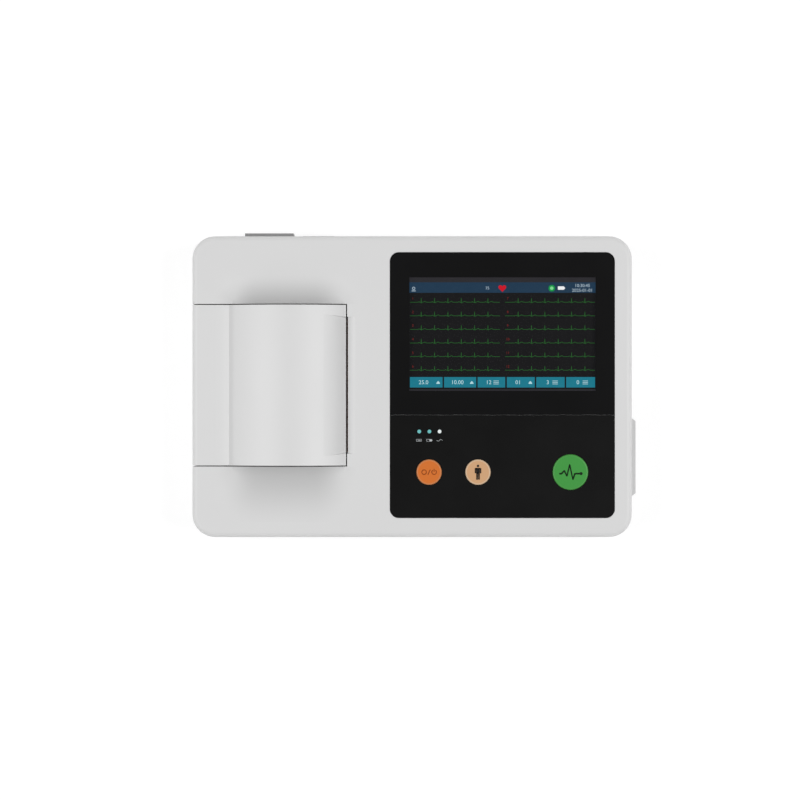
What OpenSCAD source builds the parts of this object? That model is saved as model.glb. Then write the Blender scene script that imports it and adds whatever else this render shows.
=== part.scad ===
// Desktop electrocardiograph with a built-in three-channel thermal printer.
// The origin is on the table under the middle of the whole machine, sockets included.
// X runs to the right, Y to the back and Z up.

/* [Housing] */
// Width of the housing without the sockets
body_w = 260; // [254:1:290]
// Depth of the housing without the sockets
body_d = 178; // [174:1:200]
// Height of the deck over the table
deck_z = 52; // [51:0.5:58]
// Height of the seam between the two housings
split_z = 33; // [32:0.5:36]
// Height of the rubber feet under the bottom
foot_h = 3; // [2:0.5:6]
// Radius of a rubber foot
foot_r = 7; // [5:0.5:8]
// Distance of the feet from the housing's edges
foot_inset = 21; // [20:0.5:24]
// Radius of the housing's vertical corners
corner_r = 13.5; // [10:0.5:18]
// Rounding of the deck's edge
edge_r = 3; // [2.6:0.1:5]
// Rounding of the bottom's edge
bottom_r = 4; // [2.6:0.1:6]
// Wall thickness of the mouldings
wall = 2.4; // [2:0.1:2.6]
// Height of the tongue that keys the two housings together
tongue_h = 1.6; // [1:0.1:2.5]
// Fitting clearance between mouldings
fit = 0.15; // [0.1:0.05:0.3]
// Visible seam round a cover
seam = 0.6; // [0.4:0.1:0.8]

/* [Printer door] */
// Distance of the printer's middle behind the housing's middle
bay_shift = 0.85; // [0:0.05:2]
// Width of the door along the paper slot
door_w = 94.9; // [94:0.1:98]
// Length of the door from the left edge to the paper slot
door_l = 90.85; // [90:0.1:94]
// Distance of the hump's middle from the left edge
hump_from_left = 56.9; // [56:0.1:58]
// Width of the hump at deck level
hump_chord = 66.8; // [64:0.2:67]
// Height of the hump over the deck
hump_h = 9; // [8.4:0.2:11]
// Radius of the dip in front of the hump
dip_r = 42; // [40:1:50]
// Distance of the dip's start from the left edge
dip_from_left = 14; // [13:0.5:15]
// Radius of the steep part of the concave flares that run the hump out
flare_r = 10; // [8:0.5:12]
// Slope of the flares at the seam, in degrees
flare_slope = 58; // [50:1:60]
// Slope where the flares' gentle tail begins, in degrees
tail_slope = 20; // [18:1:24]
// Radius of the door's roll down to the paper slot
lip_r = 36; // [34:1:40]
// Width of the door's roll
lip_w = 13; // [11:0.5:14]
// Radius of the housing's roll down to the paper slot
ease_r = 7; // [6.5:0.5:8]
// Width of the housing's roll
ease_w = 4.5; // [4:0.1:4.8]
// Length of the two rolls along the slot
scoop_w = 78.8; // [76:0.2:80]
// Draft of the walls at their ends, over their height
scoop_draft = 0.25; // [0.1:0.05:0.4]
// Width of the paper slot
slot_w = 1.2; // [1.1:0.1:1.6]
// Height of the hinge axis over the table
hinge_z = 14; // [13:0.5:18]
// Outer radius of the hinge barrel
barrel_r = 4; // [3.5:0.25:4.5]
// Radius of the hinge pin
pin_r = 1.5; // [1:0.1:2]
// Radial clearance of a turning pin or shaft
running = 0.05; // [0.03:0.01:0.08]

/* [Paper] */
// Width of the chart paper
paper_w = 79.5; // [76:0.5:80]
// Radius of the full roll
roll_r = 21.5; // [16:0.5:22]
// Distance of the roll's axis from the left edge
roll_from_left = 48; // [47:0.5:50]
// Outer radius of the paper core
core_r = 8; // [6.5:0.5:9]
// Radius of the spindle's journals
journal_r = 3; // [2:0.25:4]
// Inner radius of the paper tray
tray_r = 24; // [23:0.5:24]
// Wall thickness of the paper tray
tray_wall = 1.6; // [1.2:0.1:2]

/* [Printer mechanism] */
// Radius of the rubber platen
platen_r = 5.5; // [5:0.1:5.6]
// Height of the platen's axis
platen_z = 41; // [40.6:0.1:41.4]
// Radius of the platen shaft
shaft_r = 2.5; // [2:0.1:3]
// Radius of the platen bushes
bush_r = 4; // [3.5:0.1:4.4]
// Thickness of the printer's sheet metal
sheet = 1.5; // [1:0.1:1.6]
// Gap at the nip, filled by the paper in use
nip_gap = 0.15; // [0.1:0.05:0.3]
// Gear module
gear_module = 0.6; // [0.58:0.01:0.6]
// Face width of the gears
gear_face = 2.5; // [2:0.1:2.6]
// Pressure angle of the gear teeth
pressure_angle = 25; // [22:0.5:26]
// Backlash cut from each gear tooth
backlash = 0.16; // [0.1:0.02:0.24]
// Radius of the feed motor
motor_r = 15; // [12:0.5:15.5]
// Length of the feed motor's can
motor_l = 20; // [16:0.5:22]
// Radius of the head springs
spring_r = 2.5; // [2:0.1:3]

/* [Operating panel] */
// Width of the black panel
panel_w = 132.8; // [131:0.2:136]
// Depth of the black panel
panel_d = 157; // [155:0.5:164]
// Distance of the panel from the right edge
panel_right = 10.3; // [9:0.1:13]
// Distance of the panel from the back
panel_back = 9.6; // [9:0.1:13]
// Corner radius of the panel
panel_r = 5.3; // [4:0.1:7]
// Thickness of the display lens and the keypad panel
panel_t = 1.7; // [1.4:0.1:2]
// Height of the panel over the deck
panel_proud = 0.2; // [0:0.1:0.4]
// Depth of the keypad panel, from the front
keypad_d = 60.8; // [60:0.1:64]
// Width of the screen window
window_w = 110.2; // [108:0.2:112]
// Depth of the screen window
window_d = 67.4; // [64:0.2:68]
// Distance of the window from the panel's left edge
window_left = 11.5; // [11:0.1:12]
// Distance of the window from the panel's back edge
window_back = 14.6; // [12:0.1:15]
// Thickness of the deck plate under the panel
pad_t = 2; // [1.6:0.1:2.2]
// Thickness of the screen module
lcd_t = 4.5; // [4:0.1:5]
// Width of the metal frame round the screen
lcd_rim = 4; // [3:0.1:4]

/* [Keys] */
// Radius of the two small keys
small_key_r = 7.5; // [6.5:0.1:8]
// Radius of the print key
print_key_r = 10.5; // [9:0.1:11]
// Distance of the keys' middles from the panel's front edge
key_row = 27.1; // [24:0.1:29]
// Distance of the power key from the panel's left edge
power_key_x = 23.1; // [20:0.1:24]
// Distance of the patient key from the panel's left edge
patient_key_x = 52; // [48:0.1:56]
// Distance of the print key from the panel's left edge
print_key_x = 106.6; // [100:0.1:108]
// Height of the keys over the panel
key_proud = 1.2; // [0.8:0.1:1.8]
// Travel of the keys
key_travel = 0.5; // [0.3:0.05:0.6]
// Radius of the status lamps
led_r = 1.1; // [0.8:0.1:1.4]
// Distance between the status lamps
led_pitch = 6; // [5:0.1:7]
// Distance of the first lamp from the panel's left edge
led_x = 17.3; // [12:0.1:18]
// Distance of the lamps from the panel's front edge
led_row = 51.1; // [47:0.1:54]

/* [Sockets] */
// Height of the sockets' middles over the table
socket_z = 19; // [18:0.25:20]
// Width of the mains inlet's flange
inlet_w = 29; // [28:0.5:32]
// Height of the mains inlet's flange
inlet_h = 22; // [21:0.5:24]
// Distance the mains inlet's flange stands out
back_out = 2.6; // [1.5:0.1:3]
// Distance of the mains inlet from the left edge
inlet_from_left = 44.8; // [42:0.2:50]
// Distance of the network socket from the left edge
network_from_left = 74.1; // [72:0.2:80]
// Width of a network socket
network_w = 16; // [15.6:0.1:17]
// Distance the patient socket's surround stands out
side_out = 3.5; // [2:0.1:5]
// Distance of the patient socket from the front
patient_from_front = 47; // [44:0.5:52]
// Width of the surround at the housing
surround_w = 48.5; // [47:0.5:52]
// Height of the surround at the housing
surround_h = 20; // [18:0.5:21]
// Slope of the surround's ends
surround_slope = 2.7; // [1:0.1:3]
// Spacing of the patient socket's jack screws
jack_pitch = 33.3; // [33:0.1:34]
// Distance of the first usb socket from the front
usb_a_from_front = 75.5; // [74:0.5:80]
// Distance of the second usb socket from the front
usb_b_from_front = 103.3; // [98:0.5:110]

/* [Electronics] */
// Thickness of the circuit boards
board_t = 1.6; // [1.2:0.1:1.6]
// Height of the spacers under the boards
spacer_h = 3; // [2.5:0.1:3.2]
// Width of the battery pack
battery_w = 74.4; // [70:0.2:76]
// Depth of the battery pack
battery_d = 70; // [66:0.5:72]
// Height of the battery pack
battery_h = 20; // [18:0.2:20.4]
// Radius of the speaker
speaker_r = 14; // [12:0.5:15]
// Distance of the speaker from the left edge
speaker_from_left = 72; // [68:1:80]
// Distance of the speaker from the front
speaker_from_front = 20; // [18:0.5:22]

/* [Hidden] */
$fn = 48;
eps = 0.01;
through = 1;

white_plastic = [0.85, 0.85, 0.85];
black_plastic = [0.1, 0.1, 0.1];
steel = [0.62, 0.63, 0.65];
board_green = [0.1, 0.35, 0.2];
rubber_grey = [0.2, 0.2, 0.2];

// Datums: the sockets stand out on the right and at the back
left_x = -(body_w + side_out) / 2;
right_x = left_x + body_w;
front_y = -(body_d + back_out) / 2;
back_y = front_y + body_d;
mid_x = left_x + body_w / 2;
mid_y = front_y + body_d / 2;
floor_z = foot_h + wall;
roof_z = deck_z - wall;

// Door, hump and scoop
bay_y = mid_y + bay_shift;
free_x = left_x + door_l;
hump_x = left_x + hump_from_left;
hump_r = (hump_chord * hump_chord / 4 + hump_h * hump_h) / (2 * hump_h);
hump_z = deck_z + hump_h - hump_r;
steep_l = flare_r * (sin(flare_slope) - sin(tail_slope));
tail_r = (hump_h - flare_r * (cos(tail_slope) - cos(flare_slope))) / (1 - cos(tail_slope));
flare_l = steep_l + tail_r * sin(tail_slope);
// A roll crosses the face that it leaves at this angle, so that no edge is tangent
blend = 3;
dip_x = left_x + dip_from_left - dip_r * sin(blend);
dip_z = deck_z - dip_r * cos(blend);
lip_start = free_x - lip_w;
lip_angle = asin((lip_start - hump_x) / hump_r);
lip_x = hump_x + hump_r * sin(lip_angle) - lip_r * sin(lip_angle + blend);
lip_z = hump_z + hump_r * cos(lip_angle) - lip_r * cos(lip_angle + blend);
slot_z = lip_z + sqrt(lip_r * lip_r - (free_x - lip_x) * (free_x - lip_x));
ease_x = free_x + slot_w + ease_w + ease_r * sin(blend);
ease_z = deck_z - ease_r * cos(blend);
hinge_x = left_x + barrel_r;
door_side = door_w / 2;
bay_side = door_side + seam;
seat_r = barrel_r + 0.4;
cheek_w = 8;
skirt_t = 2;
cap_right = free_x - 15;

// Printer mechanism, from the nip outwards along the platen
roll_x = left_x + roll_from_left;
roll_z = floor_z + tray_wall + tray_r;
rubber_half = paper_w / 2 + 0.25;
arm_in = rubber_half + 0.4;
arm_t = 1.6;
frame_in = arm_in + arm_t + 0.4;
frame_out = frame_in + sheet;
plane_a = frame_out + 0.4;
plane_b = plane_a + gear_face + 0.4;
plate_in = plane_b + gear_face + 0.5;
plate_out = plate_in + sheet;
blade_t = 0.8;
blade_x = free_x + slot_w - blade_t;
ceramic_t = 0.65;
ceramic_x = free_x + 0.2;
sink_x = ceramic_x + ceramic_t;
sink_t = 3.3;
platen_x = ceramic_x - nip_gap - platen_r;
frame_left = platen_x - 7.5;
frame_right = sink_x + 14;
frame_top = platen_z + 4;
head_pin_x = sink_x + 5.3;
head_pin_z = platen_z - 17;
head_half = rubber_half - 0.1;
ear_t = 2.4;
head_low = platen_z - 10;
head_high = platen_z + 4.8;
spring_z = platen_z;
spring_y = 20;
wire_r = 0.4;

// Gear train: platen, idler, compound and motor pinion
platen_teeth = 20;
idler_teeth = 25;
small_teeth = 15;
big_teeth = 40;
pinion_teeth = 12;
mesh_gap = 0.05;
idler_angle = -71;
compound_angle = -20;
pinion_angle = -10;
function pitch_r(teeth) = gear_module * teeth / 2;
function reach(a, b) = pitch_r(a) + pitch_r(b) + mesh_gap;
idler_x = platen_x + reach(platen_teeth, idler_teeth) * cos(idler_angle);
idler_z = platen_z + reach(platen_teeth, idler_teeth) * sin(idler_angle);
compound_x = idler_x + reach(idler_teeth, small_teeth) * cos(compound_angle);
compound_z = idler_z + reach(idler_teeth, small_teeth) * sin(compound_angle);
motor_x = compound_x + reach(big_teeth, pinion_teeth) * cos(pinion_angle);
motor_z = compound_z + reach(big_teeth, pinion_teeth) * sin(pinion_angle);
// A tooth of one gear faces a gap of the next along the line of their centres
function next_phase(phase, teeth, next_teeth, angle) =
    angle + 180 - (360 / next_teeth) * (0.5 - (angle - phase) * teeth / 360);
idler_phase = next_phase(0, platen_teeth, idler_teeth, idler_angle);
small_phase = next_phase(idler_phase, idler_teeth, small_teeth, compound_angle);
pinion_phase = next_phase(0, big_teeth, pinion_teeth, pinion_angle);
stud_r = 1.5;
motor_shaft_r = 1;

// Operating panel and what lies under it
panel_x = right_x - panel_right - panel_w;
panel_y = back_y - panel_back - panel_d;
panel_top = deck_z + panel_proud;
panel_z = panel_top - panel_t;
pad_z = panel_z - pad_t;
window_x = panel_x + window_left;
window_y = panel_y + panel_d - window_back - window_d;
keypad_gap = 0.12;
key_y = panel_y + key_row;
keys = [[power_key_x, small_key_r], [patient_key_x, small_key_r], [print_key_x, print_key_r]];
led_y = panel_y + led_row;
switch_h = 2.5;
plunger_r = 1.75;
key_stem = 0.6;
flange_h = 1.2;
flange_w = 1;
flange_z = panel_z - fit / 3 - flange_h;
stem_z = flange_z - key_stem;
plunger_l = 2.3;
plunger_z = stem_z - plunger_l;
switch_top = stem_z - key_travel - 0.8;
keypad_z = switch_top - switch_h - board_t;
keypad_post_r = 3;
post_xs = [panel_x + 5, panel_x + panel_w - 5];
post_ys = [panel_y + 8, panel_y + keypad_d - 6];

// Boards, battery and screws
screw_r = 1.5;
screw_head_r = 2.75;
screw_head_h = 2;
boss_r = 4;
boss_inset = 12;
mid_boss_x = motor_x + motor_r + boss_r + 2.45;
boss_xs = [left_x + boss_inset, mid_boss_x, right_x - boss_inset];
boss_ys = [front_y + boss_inset, back_y - boss_inset];
foot_recess = 1;
cover_w = battery_w + 4;
cover_d = battery_d + 4;
cover_x = right_x - 30 - cover_w;
cover_y = front_y + 31;
box_z = floor_z + battery_h + 0.6;
main_z = box_z + wall + spacer_h - 1;
main_x = frame_right + 22.3;
main_w = right_x - 14 - main_x;
main_d = cover_d + 18;
main_y = cover_y - 8;
low_board_z = floor_z + spacer_h;
side_board_w = 24;
side_board_x = right_x - wall - 0.4 - side_board_w;
power_x = mid_boss_x + boss_r + 2;
power_w = side_board_x - 29.2 - power_x;
power_y = cover_y + cover_d + wall + 5.6;
power_d = back_y - 7 - power_y;
side_board_y = patient_from_front + front_y - 26;
side_board_d = usb_b_from_front - patient_from_front + 38;
lan_board_w = 24;
lan_board_d = back_y - wall - 0.4 - (bay_y + plate_out + 7.65);
lan_board_x = left_x + network_from_left - lan_board_w / 2;
lan_board_y = back_y - wall - 0.4 - lan_board_d;
low_screw_inset = 2.6;

// Sockets
inlet_x = left_x + inlet_from_left;
network_x = left_x + network_from_left;
network_h = 13.5;
network_z = low_board_z + board_t + network_h / 2;
patient_y = front_y + patient_from_front;
usb_ys = [front_y + usb_a_from_front, front_y + usb_b_from_front];
usb_w = 7.1;
usb_h = 14.5;
usb_z = low_board_z + board_t + usb_h / 2;
shell_w = 26;
shell_h = 9.4;
speaker_x = left_x + speaker_from_left;
speaker_y = front_y + speaker_from_front;
speaker_t = 5;

// Section of a rounded wall: the outer top corner is rounded by e
module edge_section(r, h, e) {
    square([r, h - e]);
    square([r - e, h]);
    translate([r - e, h - e]) circle(e);
}

// Block centred on X and Y with round corners and a rounded top edge
module rounded_block(w, d, h, r, e) {
    translate([r - w / 2, r - d / 2, 0]) cube([w - 2 * r, d - 2 * r, h]);
    for (turn = [0, 180]) rotate(turn) {
        translate([r - w / 2, d / 2 - r, 0]) rotate([90, 0, 90])
            linear_extrude(w - 2 * r) edge_section(r, h, e);
        translate([w / 2 - r, d / 2 - r, 0]) rotate([90, 0, 0])
            linear_extrude(d - 2 * r) edge_section(r, h, e);
        translate([w / 2 - r, d / 2 - r, 0]) rotate_extrude(angle = 90) edge_section(r, h, e);
        translate([r - w / 2, d / 2 - r, 0]) rotate(90)
            rotate_extrude(angle = 90) edge_section(r, h, e);
    }
}

// Plate with round corners, from its front left corner
module round_plate(w, d, h, r) {
    translate([r, 0, 0]) cube([w - 2 * r, d, h]);
    translate([0, r, 0]) cube([w, d - 2 * r, h]);
    for (x = [r, w - r], y = [r, d - r]) translate([x, y, 0]) cylinder(h, r = r);
}

// Extrudes an outline drawn in X and Z along Y, from y0 to y1
module along_y(y0, y1) {
    translate([0, y1, 0]) rotate([90, 0, 0]) linear_extrude(y1 - y0) children();
}

// Cylinder along Y from y0 to y1
module rod_y(x, z, y0, y1, r) {
    translate([x, y1, z]) rotate([90, 0, 0]) cylinder(y1 - y0, r = r);
}

// Both ends of the printer, the second one mirrored about its middle
module both_ends() {
    translate([0, bay_y, 0]) for (side = [0, 1]) mirror([0, side, 0]) children();
}

// What the rolls at the paper slot take away, in X and Z
module scoop_outline() {
    slot_x = free_x + slot_w / 2;
    difference() {
        translate([lip_start - 2.5, slot_z - 1]) square([slot_x - lip_start + 2.5, 2 * hump_h]);
        translate([lip_x, lip_z]) circle(lip_r);
    }
    difference() {
        translate([slot_x, slot_z - 1]) square([ease_x - slot_x, 2 * hump_h]);
        translate([ease_x, ease_z]) circle(ease_r);
    }
}

// The scoop's cutter: both rolls, between end walls with draft
module scoop_cutter() {
    half = scoop_w / 2;
    out = half + 2 * hump_h * scoop_draft;
    intersection() {
        along_y(bay_y - out, bay_y + out) scoop_outline();
        translate([lip_start - 5, bay_y, slot_z - 1]) rotate([90, 0, 90])
            linear_extrude(lip_w + slot_w + ease_w + 10)
                polygon([[-half, 0], [half, 0], [out, 2 * hump_h], [-out, 2 * hump_h]]);
    }
}

// Section of a flare beyond the seam: steep arc and gentle tail, both inset by a wall
module flare_section(inset) {
    difference() {
        square([hump_r - inset, flare_l]);
        intersection() {
            translate([hump_r + flare_r * cos(flare_slope), flare_r * sin(flare_slope)])
                circle(flare_r + inset);
            square([2 * hump_r, steep_l]);
        }
        intersection() {
            translate([hump_r - hump_h + tail_r, flare_l]) circle(tail_r + inset);
            translate([0, steep_l]) square([2 * hump_r, flare_l]);
        }
    }
}

// One concave flare: the hump's circle swept out to the deck, short of the housing's edge
module flare(inset) {
    room = body_d / 2 - bay_shift - bay_side - edge_r;
    intersection() {
        translate([hump_x, bay_side, hump_z]) rotate([-90, 0, 0]) rotate_extrude()
            flare_section(inset);
        translate([hump_x - hump_r, 0, deck_z - 1 - inset])
            cube([2 * hump_r, bay_side + room, 2 * hump_h]);
    }
}

// Boss positions of the housing screws
module at_bosses() {
    for (x = boss_xs, y = boss_ys) translate([x, y, 0]) children();
}

module at_feet() {
    for (x = [left_x + foot_inset, right_x - foot_inset])
        for (y = [front_y + foot_inset, back_y - foot_inset]) translate([x, y, 0]) children();
}

module at_posts() {
    for (x = post_xs, y = post_ys) translate([x, y, 0]) children();
}

module top_housing() {
    shell_h = deck_z - split_z;
    color(white_plastic) difference() {
        union() {
            difference() {
                translate([mid_x, mid_y, split_z])
                    rounded_block(body_w, body_d, shell_h, corner_r, edge_r);
                translate([mid_x, mid_y, split_z - eps])
                    rounded_block(body_w - 2 * wall, body_d - 2 * wall, shell_h - wall + eps,
                        corner_r - wall, edge_r / 4);
            }
            both_ends() difference() {
                flare(0);
                flare(wall);
            }
            translate([panel_x - skirt_t, panel_y - skirt_t, pad_z])
                round_plate(panel_w + 2 * skirt_t, panel_d + 2 * skirt_t, roof_z + eps - pad_z,
                    panel_r + skirt_t);
            both_ends() translate([left_x + wall - eps, bay_side, split_z + skirt_t])
                cube([frame_left - 4 - left_x - wall, skirt_t, roof_z - split_z - skirt_t + eps]);
            both_ends() translate([blade_x + blade_t, 0, roof_z - 2])
                cube([8, frame_in, wall + 0.8]);
            at_bosses() translate([0, 0, split_z]) cylinder(roof_z - split_z + eps, r = boss_r);
            at_posts() translate([0, 0, keypad_z + board_t])
                cylinder(pad_z - keypad_z - board_t + eps, r = keypad_post_r);
        }
        translate([left_x - through, bay_y - bay_side, split_z - through])
            cube([door_l + seam + 0.1 + through, 2 * bay_side, deck_z]);
        translate([free_x - through, bay_y - scoop_w / 2 - 1, split_z - through])
            cube([slot_w + through, scoop_w + 2, deck_z]);
        both_ends() intersection() {
            flare(wall);
            translate([left_x + wall, 0, 0]) cube([body_w, body_d / 2, deck_z - wall + hump_h]);
        }
        scoop_cutter();
        translate([panel_x - fit, panel_y - fit, panel_z])
            round_plate(panel_w + 2 * fit, panel_d + 2 * fit, deck_z, panel_r + fit);
        translate([window_x - 1, window_y - 1, 0]) cube([window_w + 2, window_d + 2, deck_z]);
        key_wells();
        for (i = [0:2]) translate([panel_x + led_x + i * led_pitch, led_y, 0])
            cylinder(deck_z, r = led_r + 0.4);
        at_bosses() translate([0, 0, split_z - through]) cylinder(9 + through, r = screw_r);
        at_posts() translate([0, 0, keypad_z]) cylinder(5, r = 1);
    }
}

module key_wells() {
    for (k = keys) translate([panel_x + k[0], key_y, 0])
        cylinder(deck_z, r = k[1] + flange_w + 0.5);
}

module bottom_housing() {
    h = split_z - foot_h;
    color(white_plastic) difference() {
        union() {
            difference() {
                translate([mid_x, mid_y, split_z]) mirror([0, 0, 1])
                    rounded_block(body_w, body_d, h, corner_r, bottom_r);
                translate([mid_x, mid_y, split_z + eps]) mirror([0, 0, 1])
                    rounded_block(body_w - 2 * wall, body_d - 2 * wall, h - wall + eps,
                        corner_r - wall, bottom_r / 4);
            }
            tongue();
            both_ends() translate([left_x + wall - eps, door_side + 0.3, foot_h + 1])
                cube([2 * barrel_r, cheek_w, hinge_z + barrel_r - foot_h - 1]);
            at_bosses() translate([0, 0, foot_h + 1]) cylinder(split_z - foot_h - 1, r = boss_r);
            battery_box();
            board_posts();
        }
        translate([left_x - through, bay_y - bay_side, hinge_z - barrel_r - 0.6])
            cube([wall + 2 * through, 2 * bay_side, deck_z]);
        rod_y(hinge_x, hinge_z, bay_y - door_side - 0.3, bay_y + door_side + 0.3, seat_r);
        rod_y(hinge_x, hinge_z, bay_y - door_side - 6, bay_y + door_side + 6, pin_r);
        translate([cover_x, cover_y, foot_h - through]) cube([cover_w, cover_d, wall + through]);
        translate([cover_x + 2, cover_y + 2, foot_h]) cube([battery_w, battery_d, box_z - foot_h]);
        at_bosses() translate([0, 0, foot_h - through]) {
            cylinder(split_z, r = screw_r + 0.2);
            cylinder(screw_head_h + 2 + through, r = screw_head_r + 0.3);
        }
        at_feet() translate([0, 0, foot_h - through]) cylinder(foot_recess + through, r = foot_r + fit);
        for (i = [-3:3]) translate([speaker_x + i * 3.6 - 1, speaker_y, foot_h - through])
            translate([0, -9 + abs(i), 0]) cube([2, 18 - 2 * abs(i), wall + 2 * through]);
        translate([inlet_x - inlet_w / 2 + 1.5, back_y - wall - through, socket_z - inlet_h / 2 + 1.5])
            cube([inlet_w - 3, wall + 2 * through, inlet_h - 3]);
        translate([network_x - network_w / 2 - fit, back_y - wall - through, low_board_z + board_t])
            cube([network_w + 2 * fit, wall + 2 * through, network_h + fit]);
        for (y = usb_ys) translate([right_x - wall - through, y - usb_w / 2 - fit, low_board_z + board_t])
            cube([wall + 2 * through, usb_w + 2 * fit, usb_h + fit]);
        translate([right_x - wall - through, patient_y - 20, socket_z - 6.5])
            cube([wall + 2 * through, 40, 13]);
    }
}

// Rim inside the wall that keys the top housing, open where the door passes
module tongue() {
    difference() {
        translate([mid_x, mid_y, split_z - 3]) difference() {
            rounded_block(body_w - 2 * wall - 2 * fit, body_d - 2 * wall - 2 * fit, 3 + tongue_h,
                corner_r - wall - fit, 0.4);
            translate([0, 0, -through])
                rounded_block(body_w - 4 * wall, body_d - 4 * wall, 5 + 2 * tongue_h,
                    corner_r - 2 * wall, 0.4);
        }
        translate([left_x, bay_y - bay_side - 10, 0]) cube([2 * corner_r, 2 * bay_side + 20, deck_z]);
        at_bosses() cylinder(deck_z, r = boss_r + fit);
    }
    translate([mid_x, mid_y, split_z - 3]) difference() {
        rounded_block(body_w - 2 * wall + eps, body_d - 2 * wall + eps, 3, corner_r - wall, 0.4);
        translate([0, 0, -through])
            rounded_block(body_w - 4 * wall, body_d - 4 * wall, 5, corner_r - 2 * wall, 0.4);
    }
}

module battery_box() {
    translate([cover_x - wall, cover_y - wall, floor_z - eps])
        cube([cover_w + 2 * wall, cover_d + 2 * wall, box_z + wall - floor_z]);
}

// Spacer posts under the boards, with their screw holes
module board_posts() {
    for (p = low_board_holes()) translate([p[0], p[1], floor_z - eps]) difference() {
        cylinder(spacer_h + eps, r = 2.5);
        translate([0, 0, 1]) cylinder(spacer_h, r = 1);
    }
    for (p = main_board_holes()) translate([p[0], p[1], box_z + wall - eps]) difference() {
        cylinder(main_z - box_z - wall + eps, r = 2.5);
        translate([0, 0, 0.5]) cylinder(spacer_h, r = 1);
    }
}

function rect_holes(x, y, w, d, inset) =
    [for (u = [x + inset, x + w - inset], v = [y + inset, y + d - inset]) [u, v]];
function low_board_holes() = concat(
    rect_holes(power_x, power_y, power_w, power_d, low_screw_inset + 1),
    [for (v = [side_board_y + low_screw_inset, side_board_y + side_board_d - low_screw_inset])
        [side_board_x + low_screw_inset, v]],
    [for (u = [lan_board_x + low_screw_inset, lan_board_x + lan_board_w - low_screw_inset])
        [u, lan_board_y + low_screw_inset]]);
function main_board_holes() =
    rect_holes(cover_x, cover_y, cover_w, cover_d, 5);

module battery_cover() {
    color(white_plastic) difference() {
        translate([cover_x + fit, cover_y + fit, foot_h])
            cube([cover_w - 2 * fit, cover_d - 2 * fit, wall]);
        for (i = [0:4]) translate([cover_x + cover_w / 2 - 12, cover_y + 6 + 2.4 * i, foot_h - through])
            cube([24, 1.2, through + 0.8]);
    }
}

module battery_pack() {
    color("royalblue") translate([cover_x + 2 + fit, cover_y + 2 + fit, floor_z])
        cube([battery_w - 2 * fit, battery_d - 2 * fit, battery_h]);
}

module rubber_feet() {
    color(rubber_grey) at_feet() rotate_extrude() difference() {
        square([foot_r, foot_h + foot_recess]);
        translate([foot_r - 0.8, -eps]) rotate(-45) square([3, 1.2]);
    }
}

module housing_screws() {
    color(steel) at_bosses() translate([0, 0, foot_h + 2]) difference() {
        union() {
            cylinder(screw_head_h, r = screw_head_r);
            cylinder(split_z + 8 - foot_h - 2, r = screw_r);
        }
        for (a = [0, 90]) rotate(a) translate([-1.5, -0.3, -eps]) cube([3, 0.6, 1.2]);
    }
}

module display_lens() {
    color(black_plastic) intersection() {
        translate([panel_x, panel_y, panel_z]) round_plate(panel_w, panel_d, panel_t, panel_r);
        translate([panel_x, panel_y + keypad_d + keypad_gap, panel_z])
            cube([panel_w, panel_d, panel_t]);
    }
}

module keypad_panel() {
    color(black_plastic) difference() {
        intersection() {
            translate([panel_x, panel_y, panel_z]) round_plate(panel_w, panel_d, panel_t, panel_r);
            translate([panel_x, panel_y, panel_z]) cube([panel_w, keypad_d, panel_t]);
        }
        for (k = keys) translate([panel_x + k[0], key_y, 0]) cylinder(2 * deck_z, r = k[1] + fit);
        for (i = [0:2]) translate([panel_x + led_x + i * led_pitch, led_y, 0])
            cylinder(2 * deck_z, r = led_r + running);
    }
}

module lcd_frame() {
    color(steel) difference() {
        translate([window_x - lcd_rim, window_y - lcd_rim, pad_z - lcd_t])
            cube([window_w + 2 * lcd_rim, window_d + 2 * lcd_rim, lcd_t]);
        translate([window_x, window_y, pad_z - lcd_t - through])
            cube([window_w, window_d, lcd_t + 2 * through]);
        translate([window_x - lcd_rim / 2, window_y - lcd_rim / 2, pad_z - lcd_t - through])
            cube([window_w + lcd_rim, window_d + lcd_rim, lcd_t + through - 0.6]);
    }
}

module lcd_glass() {
    color([0.05, 0.07, 0.1])
        translate([window_x - lcd_rim / 2 + fit, window_y - lcd_rim / 2 + fit, pad_z - lcd_t])
            cube([window_w + lcd_rim - 2 * fit, window_d + lcd_rim - 2 * fit, lcd_t - 0.6]);
}

module keypad_board() {
    color(board_green) translate([panel_x + 1, panel_y + 3, keypad_z]) difference() {
        cube([panel_w - 2, keypad_d - 5, board_t]);
        translate([-panel_x - 1, -panel_y - 3, -through]) {
            at_posts() cylinder(4, r = 1.2);
            at_bosses() cylinder(4, r = boss_r + 0.4);
        }
    }
}

module key_switches() {
    color(black_plastic) for (k = keys)
        translate([panel_x + k[0], key_y, keypad_z + board_t]) difference() {
            translate([-3, -3, 0]) cube([6, 6, switch_h]);
            translate([0, 0, plunger_z - key_travel - 0.1 - keypad_z - board_t])
                cylinder(switch_h, r = plunger_r + running);
        }
}

module status_leds() {
    color("white") for (i = [0:2])
        translate([panel_x + led_x + i * led_pitch, led_y, keypad_z + board_t])
            cylinder(panel_top + 0.15 - keypad_z - board_t, r = led_r);
}

module main_board() {
    color(board_green) difference() {
        translate([main_x, main_y, main_z]) cube([main_w, main_d, board_t]);
        for (p = main_board_holes()) translate([p[0], p[1], main_z - through]) cylinder(4, r = 1.2);
    }
}

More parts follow.
